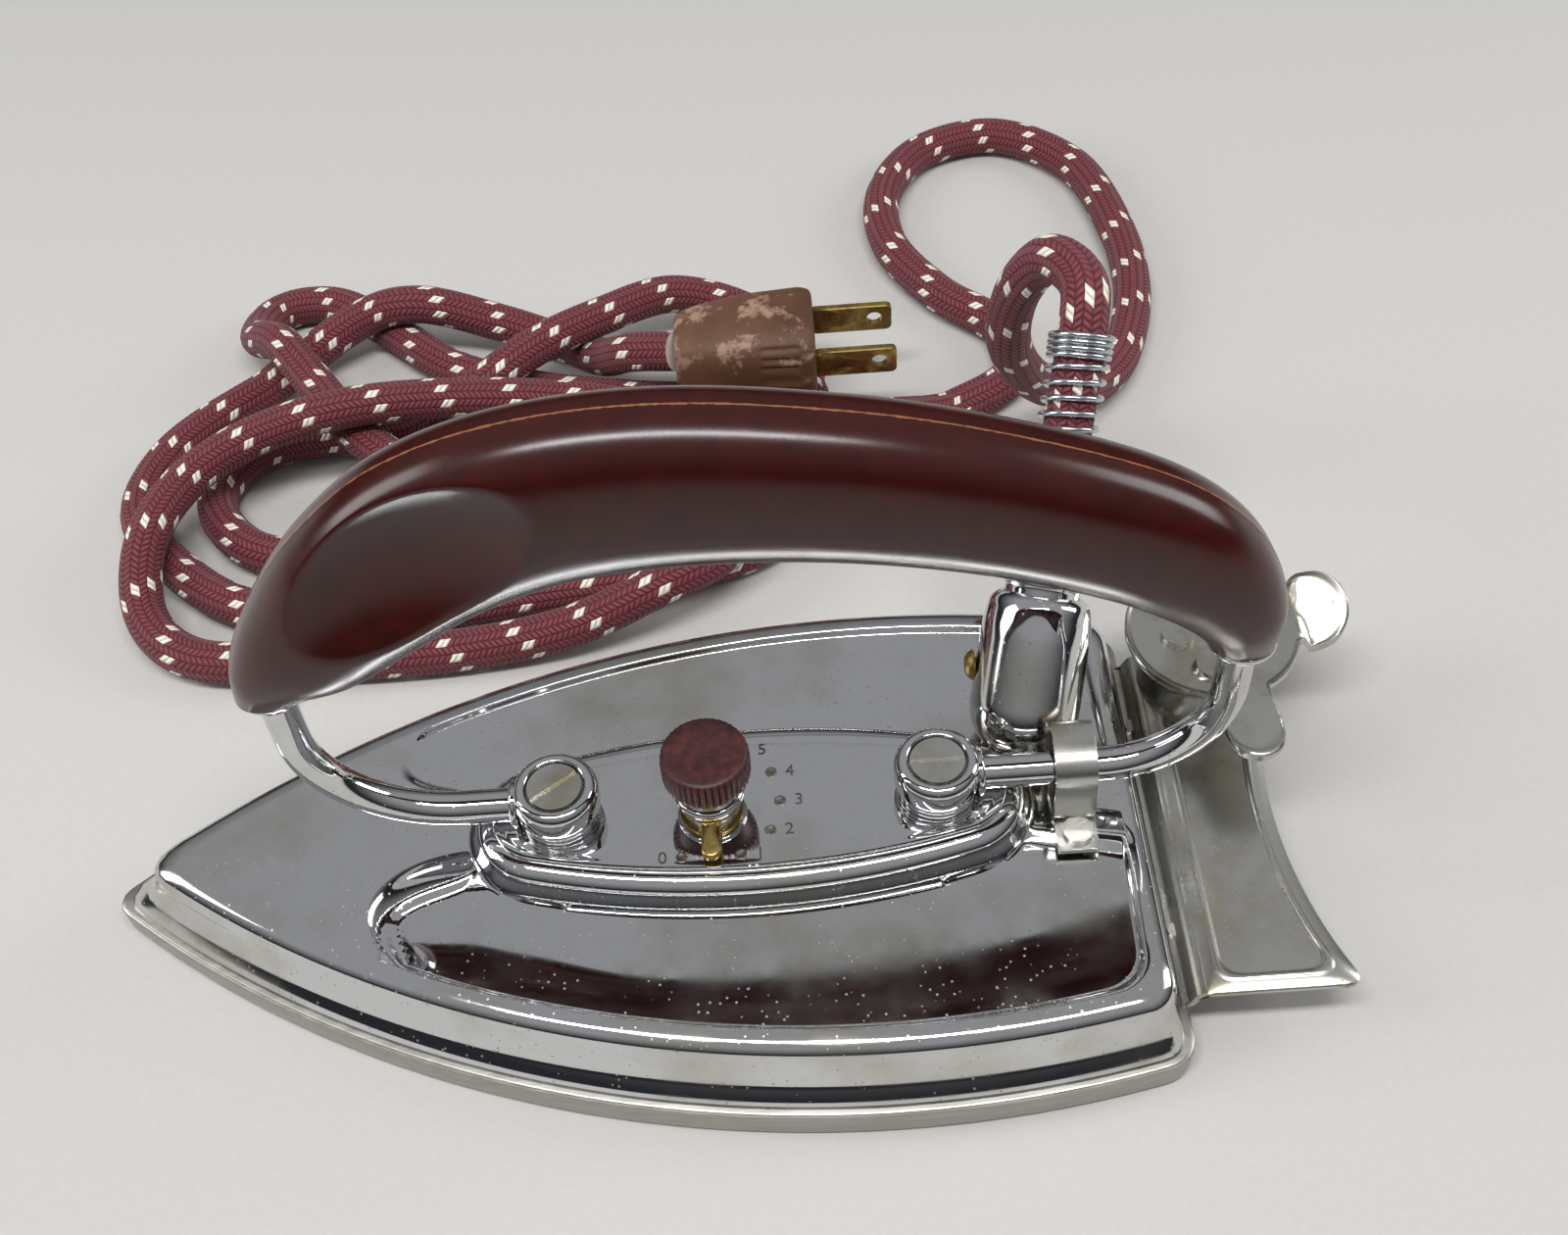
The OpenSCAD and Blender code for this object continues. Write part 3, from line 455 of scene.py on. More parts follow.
KNOB_X = 14.0
DIAL_R, NUMBER_OUT = 11.0, 3.0
MARK_ANGLES = [math.radians(a) for a in (-26, 24, 57, 87, 117, 150)]
dimple = [(0.95, 0.0), (0.95, 0.05), (0.8, 0.09), (0.62, 0.07), (0.45, 0.02), (0.2, 0.005)]
marks, numbers = [], []
for value, angle in enumerate(MARK_ANGLES):
    out = np.array([math.sin(angle), -math.cos(angle)])
    at = np.array([KNOB_X, 0]) + out * DIAL_R
    marks.append(on_body(grid_piece(f"dial_mark_{value}", lathe_grid(dimple, 32, (at[0], at[1], DIAL_Z))),
                         "root", "chrome"))
    label = bpy.data.curves.new(f"dial_number_{value}", "FONT")
    label.body, label.size, label.extrude = str(value), 3.0 * MM, 0.03 * MM
    label.align_x, label.align_y = "CENTER", "CENTER"
    number = placed(label.name, label)
    mesh = bpy.data.meshes.new_from_object(number.evaluated_get(bpy.context.evaluated_depsgraph_get()))
    beside = NUMBER_OUT if value else -NUMBER_OUT
    mesh.transform(Matrix.Translation(Vector((at[0] + beside, at[1], DIAL_Z + 0.03)) * MM))
    bpy.data.objects.remove(number)
    numbers.append(on_body(placed(f"dial_number_{value}", mesh), "root", "chrome"))


# %% [markdown]
# ## Hinge posts, screws and bail
#
# Each post is turned on a lathe: two thin beads under a thick collar, with a seat for the screw. A bead
# is half a circle in the profile. The bail's wire is one round bar, bent up at each end into the grip.

# %% Posts
POST_X, POST_R = (-10.0, 50.0), 6.9
WIRE_R, PIVOT_Z = 2.75, DIAL_Z + 0.45 + 2.75


def bead(z0, z1, r, bulge):
    """Half an ellipse between two heights, standing out from a radius."""
    t = np.linspace(0, np.pi, 11)
    return np.stack([r + bulge * np.sin(t), (z0 + z1) / 2 - (z1 - z0) / 2 * np.cos(t)], 1)


post_profile = np.vstack([
    [[2.1, 0]], bead(0, 1.15, POST_R - 1.3, 0.75), bead(1.2, 2.35, POST_R - 1.2, 0.75),
    rounded([[POST_R - 1.1, 2.45], [POST_R - 0.1, 2.6], [POST_R, 4.4], [POST_R, 6.4], [POST_R - 0.9, 7.6], [4.9, 7.6],
             [4.6, 7.2], [4.5, 6.35], [2.2, 6.35]], 0.7)])
round_wire = np.linspace(0, 2 * np.pi, 17)
eyelet = np.stack([WIRE_R + 0.62 + 0.55 * np.cos(round_wire), 0.55 * np.sin(round_wire)], 1)
for name, x, side in (("front_post", POST_X[0], -1), ("rear_post", POST_X[1], 1)):
    on_body(grid_piece(f"ringed_{name}", lathe_grid(post_profile, 96, (x, 0, DIAL_Z))), "root", "chrome", name)
    ring = lathe_grid(eyelet, 64, (x + side * (POST_R - 0.15), 0, PIVOT_Z), (1, 0, 0))
    on_body(grid_piece(f"{name}_eyelet", ring, caps=False), "root", "chrome")


# %% Bail
WIRE_IN = 7.0  # how far the wire reaches into the grip
ENDS = {  # where the wire stops and rises, its bend, the grip's end, and the cap's profile and rounding
    "front": (POST_X[0] - 3.1, -46.5, 22.0, 60.5, [[2.8, -2.4], [3.9, -2.4], [5.0, -0.4], [5.0, 0], [2.8, 0]], 0.35),
    "rear": (POST_X[1] + 3.1, 93.7, 18.0, 56.5, [[2.8, -1], [5.2, -1], [5.2, 0], [2.8, 0]], 0.3)}


def bail_path(stop_x, up_x, bend, top_z):
    """Along the hinge axis, a quarter turn, and straight up."""
    s = -1 if up_x < stop_x else 1
    a = np.linspace(0, np.pi / 2, 28)
    turn = np.stack([up_x - s * bend + s * bend * np.sin(a), 0 * a, PIVOT_Z + bend - bend * np.cos(a)], 1)
    return np.vstack([[[stop_x, 0, PIVOT_Z]], turn, [[up_x, 0, top_z]]])


for end, (stop_x, up_x, bend, grip_z, cap, cap_r) in ENDS.items():
    wire = tube_grid(bail_path(stop_x, up_x, bend, grip_z + WIRE_IN), WIRE_R, 40, (0, 1, 0))
    on_body(grid_piece(f"{end}_wire", wire), "handle", "chrome", f"{end}_bail")
    ring = lathe_grid(rounded(cap, cap_r), 64, (up_x, 0, grip_z))
    on_body(grid_piece(f"{end}_cap", ring), "handle", "chrome", f"{end}_ferrule")


# %% [markdown]
# ## The grip
#
# The handle is moulded from phenolic, in two halves of a mould that leave a thin line along the top. Its
# section is a superellipse. Near the front a hollow for the thumb is cut into each side: there the side is
# the smaller of the section and a bowl-shaped surface, blended over a third of a millimetre.

# %% Grip
GRIP_W = 17.6
STATIONS = [  # bottom x, bottom z, top x, top z, share of the width
    [-41.5, 60.5, -51.5, 60.5, 0.58], [-37, 63.2, -50, 68, 0.83], [-31, 65, -45, 78, 1],
    [-22, 71, -36, 90.5, 1.06], [-12, 77.5, -23, 102, 1.05], [1, 82.5, -6, 108.5, 1.02],
    [17, 84, 15, 110, 1], [36, 82.5, 40, 106, 0.98], [55, 78, 62, 99, 0.97],
    [71, 71.5, 81, 90, 0.97], [81, 65.5, 92.5, 79.5, 0.95], [86.3, 60.5, 98.3, 67, 0.84],
    [88.4, 56.5, 98.6, 56.5, 0.56]]
SCOOP_AT, SCOOP_TILT, SCOOP_L, SCOOP_H = np.array([-21.5, 93.0]), math.radians(37), 23.0, 10.3
SCOOP_FLOOR, SCOOP_RIM_L, SCOOP_RIM_H = 3.6, 5.7, 3.2
GRIP_AROUND, SECTION_POWER, LINE_UP = 128, 0.85, 0.12

stations = smooth_curve(STATIONS, 34)
a = circle(GRIP_AROUND)
up, out = squarer(np.cos(a), SECTION_POWER), squarer(np.sin(a), SECTION_POWER)
low, high = stations[:, 0:2], stations[:, 2:4]
middle, reach = (low + high) / 2, (high - low) / 2
xz = middle[:, None] + reach[:, None] * up[None, :, None]
y = stations[:, 4, None] * GRIP_W / 2 * out[None]
from_scoop = xz - SCOOP_AT
along = (from_scoop[..., 0] * math.cos(SCOOP_TILT) + from_scoop[..., 1] * math.sin(SCOOP_TILT)) / SCOOP_L
across = (from_scoop[..., 1] * math.cos(SCOOP_TILT) - from_scoop[..., 0] * math.sin(SCOOP_TILT)) / SCOOP_H
bowl = SCOOP_FLOOR + SCOOP_RIM_L * along ** 2 + SCOOP_RIM_H * across ** 2
gap = bowl - np.abs(y)
BLEND = 0.3
y = np.sign(y) * np.where(np.abs(along) < 1.6, 0.5 * (bowl + np.abs(y) - np.sqrt(gap ** 2 + BLEND ** 2)), np.abs(y))
ridge = LINE_UP * np.exp(-(np.minimum(a, 2 * np.pi - a) / 0.03) ** 2)
normal = reach / np.linalg.norm(reach, axis=1, keepdims=True)
xz = xz + normal[:, None] * ridge[None, :, None]
grip_grid = np.stack([xz[..., 0], y, xz[..., 1]], -1)
on_body(grid_piece("grip", grip_grid, uv=(lengths(middle), np.arange(GRIP_AROUND) / GRIP_AROUND), sharp=50),
        "handle", "phenolic", "handle_grip")


# %% [markdown]
# ## The thermostat knob
#
# A moulded knob with a knurled rim. Knurling is the radius made to ripple with the angle, and the ripple
# fades into the smooth neck below and stops short of the rounded top edge.

# %% Knob, collar and pointer
KNOB_LO, KNOB_HI = box_mm("knob")
KNOB_R, KNOB_H = 7.0, KNOB_HI[2] - KNOB_LO[2]
knob_profile = even(np.vstack([rounded([
    [2.4, 0], [4.6, 0], [5.4, 0.8], [5.7, 2.6], [6.85, 3.9], [KNOB_R, 4.6], [KNOB_R, 8.7], [6.5, 9.42],
    [5.2, KNOB_H], [3, KNOB_H - 0.12]], 0.9, 7), [[0.6, KNOB_H - 0.15]]]), 0.3)
KNURLS = 40
turn = circle(KNURLS * 8)
ripple = np.abs(np.sin(turn * KNURLS / 2)) ** 0.7 - 1
fade = step(knob_profile[:, 1] - 2.9, 1.2) * step(KNOB_H - 0.15 - knob_profile[:, 1], 0.7) * (knob_profile[:, 0] > 5)
knob_r = knob_profile[:, 0, None] + 0.42 * fade[:, None] * ripple[None]
knob_grid = np.stack([KNOB_X + knob_r * np.cos(turn), knob_r * np.sin(turn),
                      KNOB_LO[2] + np.broadcast_to(knob_profile[:, 1, None], knob_r.shape)], -1)
on_body(grid_piece("knurled_knob", knob_grid, sharp=60), "dial", "knob_phenolic", "knob")

collar_profile = rounded([[2.55, 0], [5.5, 0], [5.7, 0.75], [5.2, 1.5], [2.55, 1.5]], 0.4)
on_body(grid_piece("ring_under_knob", lathe_grid(collar_profile, 72, (KNOB_X, 0, box_mm("knob_collar")[0][2]))),
        "dial", "chrome", "knob_collar")

pointer_z = box_mm("pointer")[0][2]
HEAD_R, ARM_HW, ARM_END = 5.1, 1.5, 11.9
neck = math.asin(ARM_HW / HEAD_R)
head = arc((0, 0), HEAD_R, -np.pi / 2 + neck, 1.5 * np.pi - neck, 60)
tip = arc((0, -ARM_END + ARM_HW), ARM_HW, -np.pi, 0, 14)
blade = np.vstack([head, [[-ARM_HW, -HEAD_R]], tip, [[ARM_HW, -HEAD_R]]])
inward = -blade / np.linalg.norm(blade, axis=1, keepdims=True)
pointer_rings = [(0.1, 0), (0, 0.12), (0, 1.05), (0.15, 1.3), (0.4, 1.4)]
on_body(grid_piece("pointer_arm", np.stack([
    np.column_stack([blade + inward * inset + [KNOB_X, 0], np.full(len(blade), pointer_z + z)])
    for inset, z in pointer_rings])), "dial", "brass", "pointer")


# %% [markdown]
# ## The clip over the wire
#
# A strip of spring steel is folded over the bail so that it turns but can't lift. The strip is one bent
# profile with a thickness, carried across its width, and its lower end is a little ragged.

# %% Clip
CLIP_LO, CLIP_HI = box_mm("bail_clip")
CLIP_T = 1.0
clip_line = np.vstack([[[-10.8, CLIP_LO[2] + 0.5]], rounded(
    [[-10.8, CLIP_LO[2] + 0.5], [5.2, CLIP_LO[2] + 0.5], [5.4, 30.9], [2.0, 31.2], [-2.8, 29.8], [-4.5, 26.0],
     [-4.7, CLIP_LO[2] + 1.9]], 2.2, 8)[1:]])
clip_line = even(clip_line, 0.5)
off = offset(clip_line, CLIP_T / 2)
clip_x = np.linspace(CLIP_HI[0] - 7.0, CLIP_HI[0] - 0.4, 13)
ragged = 0.3 * np.sin(np.arange(13) * 2.4) * np.sin(np.arange(13) * 1.1)


def clip_side(shift):
    """One face of the strip, as rows along it and columns across it."""
    face = np.broadcast_to((clip_line + shift)[:, None], (len(clip_line), 13, 2)).copy()
    face[-1, :, 1] += ragged
    return np.dstack([np.broadcast_to(clip_x, face.shape[:2]), face])


outer, inner = clip_side(-off), clip_side(off)
clip = grid_piece("wire_clip", np.concatenate([outer, inner[:, ::-1]], 1))
clip_edge = clip.modifiers.new("edge", "BEVEL")
clip_edge.width, clip_edge.segments, clip_edge.limit_method = 0.16 * MM, 2, "ANGLE"
on_body(clip, "root", "bright_steel", "bail_clip")


# %% [markdown]
# ## Hood, tube and spring
#
# The cord enters through a bullet-shaped hood that leans back at 45 degrees. It is turned about its own
# axis and then cut flat where it stands on the cover, which is a lower limit on its heights. The strain
# relief is a helix of round wire, wound close for its last four turns.

# %% Hood
HOOD_R = 9.0
NOSE_S = -4.0  # the ball end's middle lies this far down the axis, so the cover cuts it flat
nose = np.linspace(0.02, np.pi / 2, 30)
bullet_profile = np.vstack([
    np.stack([HOOD_R * np.sin(nose), NOSE_S - HOOD_R * np.cos(nose)], 1),
    rounded([[HOOD_R, NOSE_S + 1], [HOOD_R - 0.1, 8.5], [8.3, 13.2], [6.9, 14.4], [6.35, 14.3], [6.2, 13.2],
             [3, 13.2]], 1.6, 8)])
hood_grid = lathe_grid(bullet_profile, 128, HOOD_AT, HOOD_AXIS)
hood_grid[..., 2] = np.maximum(hood_grid[..., 2], COVER_Z - 0.1)
on_body(grid_piece("bullet_hood", hood_grid, sharp=50), "root", "chrome", "cord_hood")

tube_profile = rounded([[2.5, 11], [6.2, 11], [6.2, 15.6], [6.45, 16.0], [6.45, 22.6], [6.1, 24], [5.55, 24],
                        [5.45, 21], [4.1, 21], [4.1, 19]], 0.45)
on_body(grid_piece("cord_sleeve", lathe_grid(tube_profile, 80, HOOD_AT, HOOD_AXIS)), "root", "chrome", "cord_tube")

dome = rounded([[0.3, 1.75], [1.2, 1.65], [2.2, 1.1], [2.6, 0.35], [2.6, 0], [1.2, 0], [1.2, -2.4], [0.3, -2.4]], 0.5)
screw_at = (HOOD_AT[0] - HOOD_R + 0.5, HOOD_AT[1] + 2.6, COVER_Z + 11.5)
on_body(grid_piece("dome_screw", lathe_grid(dome, 48, screw_at, (-1, 0, 0))), "root", "brass", "hood_screw")


# %% Spring
WIRE, OPEN_TURNS, CLOSE_TURNS = 1.0, 12, 4
close_l = CLOSE_TURNS * WIRE * 1.03
turns = np.concatenate([np.linspace(0, 1, 30), np.linspace(1, 1 + OPEN_TURNS, OPEN_TURNS * 36)[1:],
                        np.linspace(1 + OPEN_TURNS, 1 + OPEN_TURNS + CLOSE_TURNS, CLOSE_TURNS * 36)[1:]])
pitch_open = (SPRING_L - close_l - 2 * WIRE) / OPEN_TURNS
rise_at = np.interp(turns, [0, 1, 1 + OPEN_TURNS, 1 + OPEN_TURNS + CLOSE_TURNS],
                    [WIRE / 2, WIRE * 1.5, WIRE * 1.5 + pitch_open * OPEN_TURNS, SPRING_L - WIRE / 2])
coil_r = np.interp(rise_at, [0, SPRING_L - close_l - 3, SPRING_L - close_l, SPRING_L], [4.55, 4.55, 4.75, 4.9])
spring_side = np.cross(HOOD_AXIS, [1, 0, 0])
spring_side /= np.linalg.norm(spring_side)
spring_other = np.cross(HOOD_AXIS, spring_side)
angle = 2 * np.pi * turns
helix = HOOD_AT + (CORD_START + rise_at)[:, None] * HOOD_AXIS + coil_r[:, None] * (
    np.cos(angle)[:, None] * spring_side + np.sin(angle)[:, None] * spring_other)
on_body(grid_piece("coiled_spring", tube_grid(helix, WIRE / 2 * 1.04, 12, HOOD_AXIS)),
        "root", "spring_steel", "strain_relief_spring")


# %% [markdown]
# ## The heel bracket
#
# Two pressed plates stand behind the body. The lower one has an embossed border and is bent at the front.
# The upper one is a round rest with two ears and two dimples, on which the iron leans when it is stood
# up. Both are lofts of one outline, drawn in ring by ring, with a height for each ring.

# %% Lower heel plate
_, heel_y, plate_top = box_mm("heel_plate")[1]
HEEL_T, half_w = 1.2, heel_y - 0.8


FOLD_X, HOLLOW_X, HOLLOW_R = 88.0, 105.0, 76.0


def heel_outline(inset):
    """The plate's outline drawn in by a distance: two straight corners in front, and a hollow arc behind."""
    half = half_w - inset
    y = np.concatenate([[-half], np.linspace(-half + 5.5, half - 5.5, 23), [half]])
    hollow = np.stack([HOLLOW_X + HOLLOW_R - np.sqrt((HOLLOW_R + inset) ** 2 - y ** 2), y], 1)
    p = np.vstack([[[FOLD_X + inset, half], [FOLD_X + inset, -half]], hollow])
    radii = [1 + 0.9 * inset] * 2 + [3.5 + 0.3 * inset] + [0.6] * 23 + [3.5 + 0.3 * inset]
    return np.vstack([rounding(p[i - 1], p[i], p[(i + 1) % len(p)], r, 8, 9) for i, r in enumerate(radii)])


heel_rings = [(0.25, -1.2), (0, -0.95), (0, -0.25), (0.25, 0), (1.9, 0), (2.1, 0.1), (2.3, 0.24), (2.7, 0.24),
              (2.9, 0.1), (3.15, -0.12), (3.4, -0.12)]
on_body(grid_piece("lower_heel_plate", np.stack([
    np.column_stack([heel_outline(inset), np.full(27 * 8, plate_top + z)])
    for inset, z in heel_rings]), caps="flat", sharp=50), "root", "bright_steel", "heel_plate")

flange_line = rounded([[84.8, SOLE_T + 0.6], [86.0, SOLE_T + 0.7], [FOLD_X - 0.5, plate_top - 0.7],
                       [FOLD_X + 2.0, plate_top - 0.65]], 0.8)
flange_off = offset(flange_line, 0.58)
flange_loop = np.vstack([flange_line + flange_off, (flange_line - flange_off)[::-1]])
on_body(grid_piece("heel_plate_flange", np.stack([
    np.column_stack([flange_loop[:, 0], np.full(len(flange_loop), y), flange_loop[:, 1]])
    for y in (0.4 - half_w, 0.7 - half_w, half_w - 0.7, half_w - 0.4)])),
    "root", "bright_steel")


# %% Upper heel rest
rest_z = box_mm("heel_rest")[0][2]
REST_C, REST_R = np.array([99.0, 27.0]), 14.5
EARS = [(math.radians(-82), 26.2, 4.7), (math.radians(8), 23.5, 5.6)]
rest_turn = circle(360)


def ear_reach(angle_from, reach, half):
    """From the disc's middle to a round-ended ear's edge: half / |sin| to its side, else to its end's circle."""
    d = (rest_turn - angle_from + np.pi) % (2 * np.pi) - np.pi
    tip_c = reach - half
    side = half / np.maximum(np.abs(np.sin(d)), 1e-3)
    end = tip_c * np.cos(d) + np.sqrt(np.maximum(half ** 2 - (tip_c * np.sin(d)) ** 2, 0))
    return np.where(np.cos(d) > 0, np.where(np.abs(tip_c * np.sin(d)) < half, end, side), 0)


edge_r = np.full(360, REST_R)
for ear in EARS:
    edge_r = np.maximum(edge_r, np.minimum(ear_reach(*ear), ear[1]))
edge_r = np.convolve(np.tile(edge_r, 3), np.ones(5) / 5, "same")[360:720]
DIMPLES = [(np.array([93.4, 26.3]), 0.5), (np.array([96.2, 19.0]), 0.9)]


def rest_height(points):
    """The rest's top: dimples pressed up, and the far ear bent up towards its end."""
    z = np.zeros(points.shape[:-1])
    for at, tilt in DIMPLES:
        d = points - at
        u = d[..., 0] * math.cos(tilt) + d[..., 1] * math.sin(tilt)
        v = d[..., 1] * math.cos(tilt) - d[..., 0] * math.sin(tilt)
        z = z + 0.9 * (1 - step(np.sqrt((u / 3.1) ** 2 + (v / 2.0) ** 2) - 0.45, 0.6))
    near, far = ((points - REST_C) @ [math.cos(angle_from), math.sin(angle_from)] for angle_from, *_ in EARS)
    across = (points - REST_C) @ [-math.sin(EARS[1][0]), math.cos(EARS[1][0])]
    twist = 0.55 * across * step(far - 13.8, 2.0)
    return z + twist + 0.12 * np.maximum(far - 15, 0) - 0.1 * np.maximum(near - 16.5, 0)


rest_shares = np.concatenate([np.linspace(0.02, 0.95, 44), [0.97, 0.985, 0.995, 1.0]])
top_points = REST_C + (rest_shares[:, None] * edge_r)[..., None] * np.stack([np.cos(rest_turn), np.sin(rest_turn)], 1)
lip = 0.35 * step(rest_shares - 0.93, 0.05)[:, None] - 0.3 * step(rest_shares - 0.985, 0.016)[:, None]
top_z = rest_z + HEEL_T + rest_height(top_points) + lip
low_points = top_points[::-1]
low_z = rest_z + rest_height(low_points)
rest_grid = np.concatenate([np.dstack([top_points, top_z]), np.dstack([low_points, low_z])])
on_body(grid_piece("upper_heel_rest", rest_grid, sharp=45), "root", "bright_steel", "heel_rest")

wall_a = np.linspace(math.radians(115), math.radians(275), 60)
wall_r, wall_z = rounded([[10.2, plate_top - 0.1], [11.4, plate_top - 0.1], [12.6, rest_z + 0.15],
                          [11.4, rest_z + 0.15]], 0.3).T
wall_grid = np.stack([REST_C[0] + np.outer(np.cos(wall_a), wall_r), REST_C[1] + np.outer(np.sin(wall_a), wall_r),
                      np.broadcast_to(wall_z, (60, len(wall_z)))], -1)
on_body(grid_piece("rest_wall", wall_grid), "root", "bright_steel")


# %% [markdown]
# ## The plug
#
# An old moulded rubber plug: flat above and below, wider towards the blades, with a patch of ribs for the
# fingers. The ribs are a ripple in the surface that fades out at the patch's edges.

# %% Plug
PLUG_L = 28.0
plug_curve = even(rounded([[4.2, 0], [6.4, 0.1], [7.5, 1.6], [8.6, 6], [9.8, 14], [10.4, 25.8],
                           [9.7, PLUG_L], [3, PLUG_L]], 1.4, 9), 0.35)
plug_turn = circle(144)
PLUG_POWER, PLUG_FLATNESS = 0.6, 0.86
section_y, section_z = squarer(np.cos(plug_turn), PLUG_POWER), squarer(np.sin(plug_turn), PLUG_POWER)
rib_zone = (step(plug_curve[:, 1] - 16.5, 1.5) * step(25.5 - plug_curve[:, 1], 1.5))[:, None] * \
    step(np.abs(np.cos(plug_turn)) - 0.45, 0.2)[None]
ribs = -0.45 * rib_zone * (0.5 + 0.5 * np.sin(2 * np.pi * section_z * 4.5))[None] ** 2
plug_y = (plug_curve[:, 0, None] + ribs) * section_y[None]
plug_z = PLUG_FLATNESS * plug_curve[:, 0, None] * section_z[None]
plug_grid = np.stack([np.broadcast_to(plug_curve[:, 1, None], plug_y.shape), plug_y, plug_z], -1) + PLUG_AT
plug = on_body(grid_piece("moulded_plug", plug_grid, sharp=55), "root", "plug_rubber", "plug_body")
BLADE_GAP, BLADE_L = 12.7, 16.0


def prong(side):
    """A flat blade with rounded end corners and a drilled hole: a ring loft round the hole, both ways."""
    y_mid = side * BLADE_GAP / 2
    hole_x = PLUG_L + 12.5
    c, s = np.cos(circle(96)), np.sin(circle(96))
    x0, x1, h, r = PLUG_L - 1.0 - hole_x, PLUG_L + BLADE_L - hole_x, 3.2, 1.2
    reach_x = np.where(c > 0, x1, -x0) / np.maximum(np.abs(c), 1e-6)
    reach_z = h / np.maximum(np.abs(s), 1e-6)
    edge = np.minimum(reach_x, reach_z)
    ex, ez = edge * c, edge * s
    corner = np.maximum(np.abs(ez) - (h - r), 0) ** 2 + np.maximum(ex - (x1 - r), 0) ** 2
    pull = np.where((np.abs(ez) > h - r) & (ex > x1 - r), r / np.sqrt(np.maximum(corner, r * r)), 1)
    ex = np.where(pull < 1, x1 - r + (ex - x1 + r) * pull, ex)
    ez = np.where(pull < 1, np.sign(ez) * (h - r + (np.abs(ez) - h + r) * pull), ez)
    t = 0.75
    hole, rim, face, flank = (1.6 * c, 1.6 * s), (1.75 * c, 1.75 * s), (ex * 0.97, ez * 0.94), (ex, ez)
    loops = [(hole, t), (rim, t), (face, t), (flank, t - 0.2), (flank, 0.2 - t),
             (face, -t), (rim, -t), (hole, -t), (hole, t)]
    grid = np.stack([np.stack([hole_x + x, np.full(96, y_mid + dy), z], 1) for (x, z), dy in loops]) + PLUG_AT
    return grid_piece(f"plug_prong_{1 if side < 0 else 2}", grid, caps=False)


prongs = [on_body(prong(side), "root", "brass") for side in (-1, 1)]
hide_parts("plug_blades")


# %% [markdown]
# ## Finishes
#
# Each finish is a Principled shader with procedural detail on object coordinates, which are in metres, so
# a pattern's scale is one over its real size. Values that are the same all over are set on the shader.

# %% Nodes and colours
def linear(code):
    """An sRGB hex colour as linear red, green, blue and alpha."""
    c = np.array([int(code[i:i + 2], 16) for i in (1, 3, 5)]) / 255
    return (*np.where(c <= 0.04045, c / 12.92, ((c + 0.055) / 1.055) ** 2.4), 1.0)


class Nodes:
    """A node tree. Each method adds a node and gives back its output, a value that varies from place to place."""

    def __init__(self, tree):
        self.tree = tree

    def add(self, kind, inputs=(), **settings):
        """Adds a node, with its settings, and with each input set to a value or joined to an output."""
        made = self.tree.nodes.new("ShaderNode" + kind)
        for key, value in settings.items():
            setattr(made, key, value)
        for key, value in dict(inputs).items():
            if isinstance(value, bpy.types.NodeSocket):
                self.tree.links.new(value, made.inputs[key])
            else:
                made.inputs[key].default_value = value
        return made

    def spread(self, factor, low, high):
        """A factor from 0 to 1 turned into a value between two."""
        return self.add("MapRange", {"Value": factor, "To Min": low, "To Max": high}).outputs["Result"]

    def limits(self, value, low, high):
        """0 below one value, 1 above another, and straight between them."""
        return self.add("MapRange", {"Value": value, "From Min": low, "From Max": high}).outputs["Result"]

    def mixed(self, factor, one, two):
        """Two colours mixed by a factor; a colour is a hex code or an output."""
        one, two = (linear(c) if isinstance(c, str) else c for c in (one, two))
        return self.add("Mix", {0: factor, 6: one, 7: two}, data_type="RGBA").outputs[2]

    def maths(self, operation, one, two=0.0, three=0.0):
        """One step of arithmetic on numbers or outputs."""
        return self.add("Math", {0: one, 1: two, 2: three}, operation=operation).outputs[0]


class Finish(Nodes):
    """A material with its shader. Its patterns are placed by object coordinates or by the piece's own map."""

    def __init__(self, name, **values):
        self.material = bpy.data.materials.new(name)
        self.material.use_nodes = True
        super().__init__(self.material.node_tree)
        self.shader = self.tree.nodes["Principled BSDF"]
        for key, value in values.items():
            self.shader.inputs[key.replace("_", " ")].default_value = value
        self.place = self.add("TexCoord").outputs["Object"]

    def noise(self, scale, detail, rough=0.5, twist=0.0, place=None):
        """Clouds from 0 to 1; scale is one over their size in metres, detail the number of finer layers."""
        return self.add("TexNoise", {"Vector": place or self.place, "Scale": scale, "Detail": detail,
                                     "Roughness": rough, "Distortion": twist}).outputs[0]

    def own_map(self):
        """How far along the piece a point lies, and its share of the way round."""
        return self.add("SeparateXYZ", {0: self.add("UVMap", uv_map="lie").outputs[0]}).outputs

    def coat(self, colour, roughness=None):
        """Joins a colour to the shader, and a roughness if there is one."""
        self.tree.links.new(colour, self.shader.inputs["Base Color"])
        if roughness is not None:
            self.tree.links.new(roughness, self.shader.inputs["Roughness"])

    def bumped(self, height, distance, strength):
        """The shader's normal, tilted by a height pattern of a given depth in metres."""
        bump = self.add("Bump", {"Height": height, "Distance": distance, "Strength": strength})
        self.tree.links.new(bump.outputs["Normal"], self.shader.inputs["Normal"])


# %% [markdown]
# ### Bright metals
#
# Chrome plate is a mirror with pinholes and a faint haze. The heel plates are nickel plated steel, whiter
# and rougher, with yellowed stains. The sole is dull, scratched along its length.

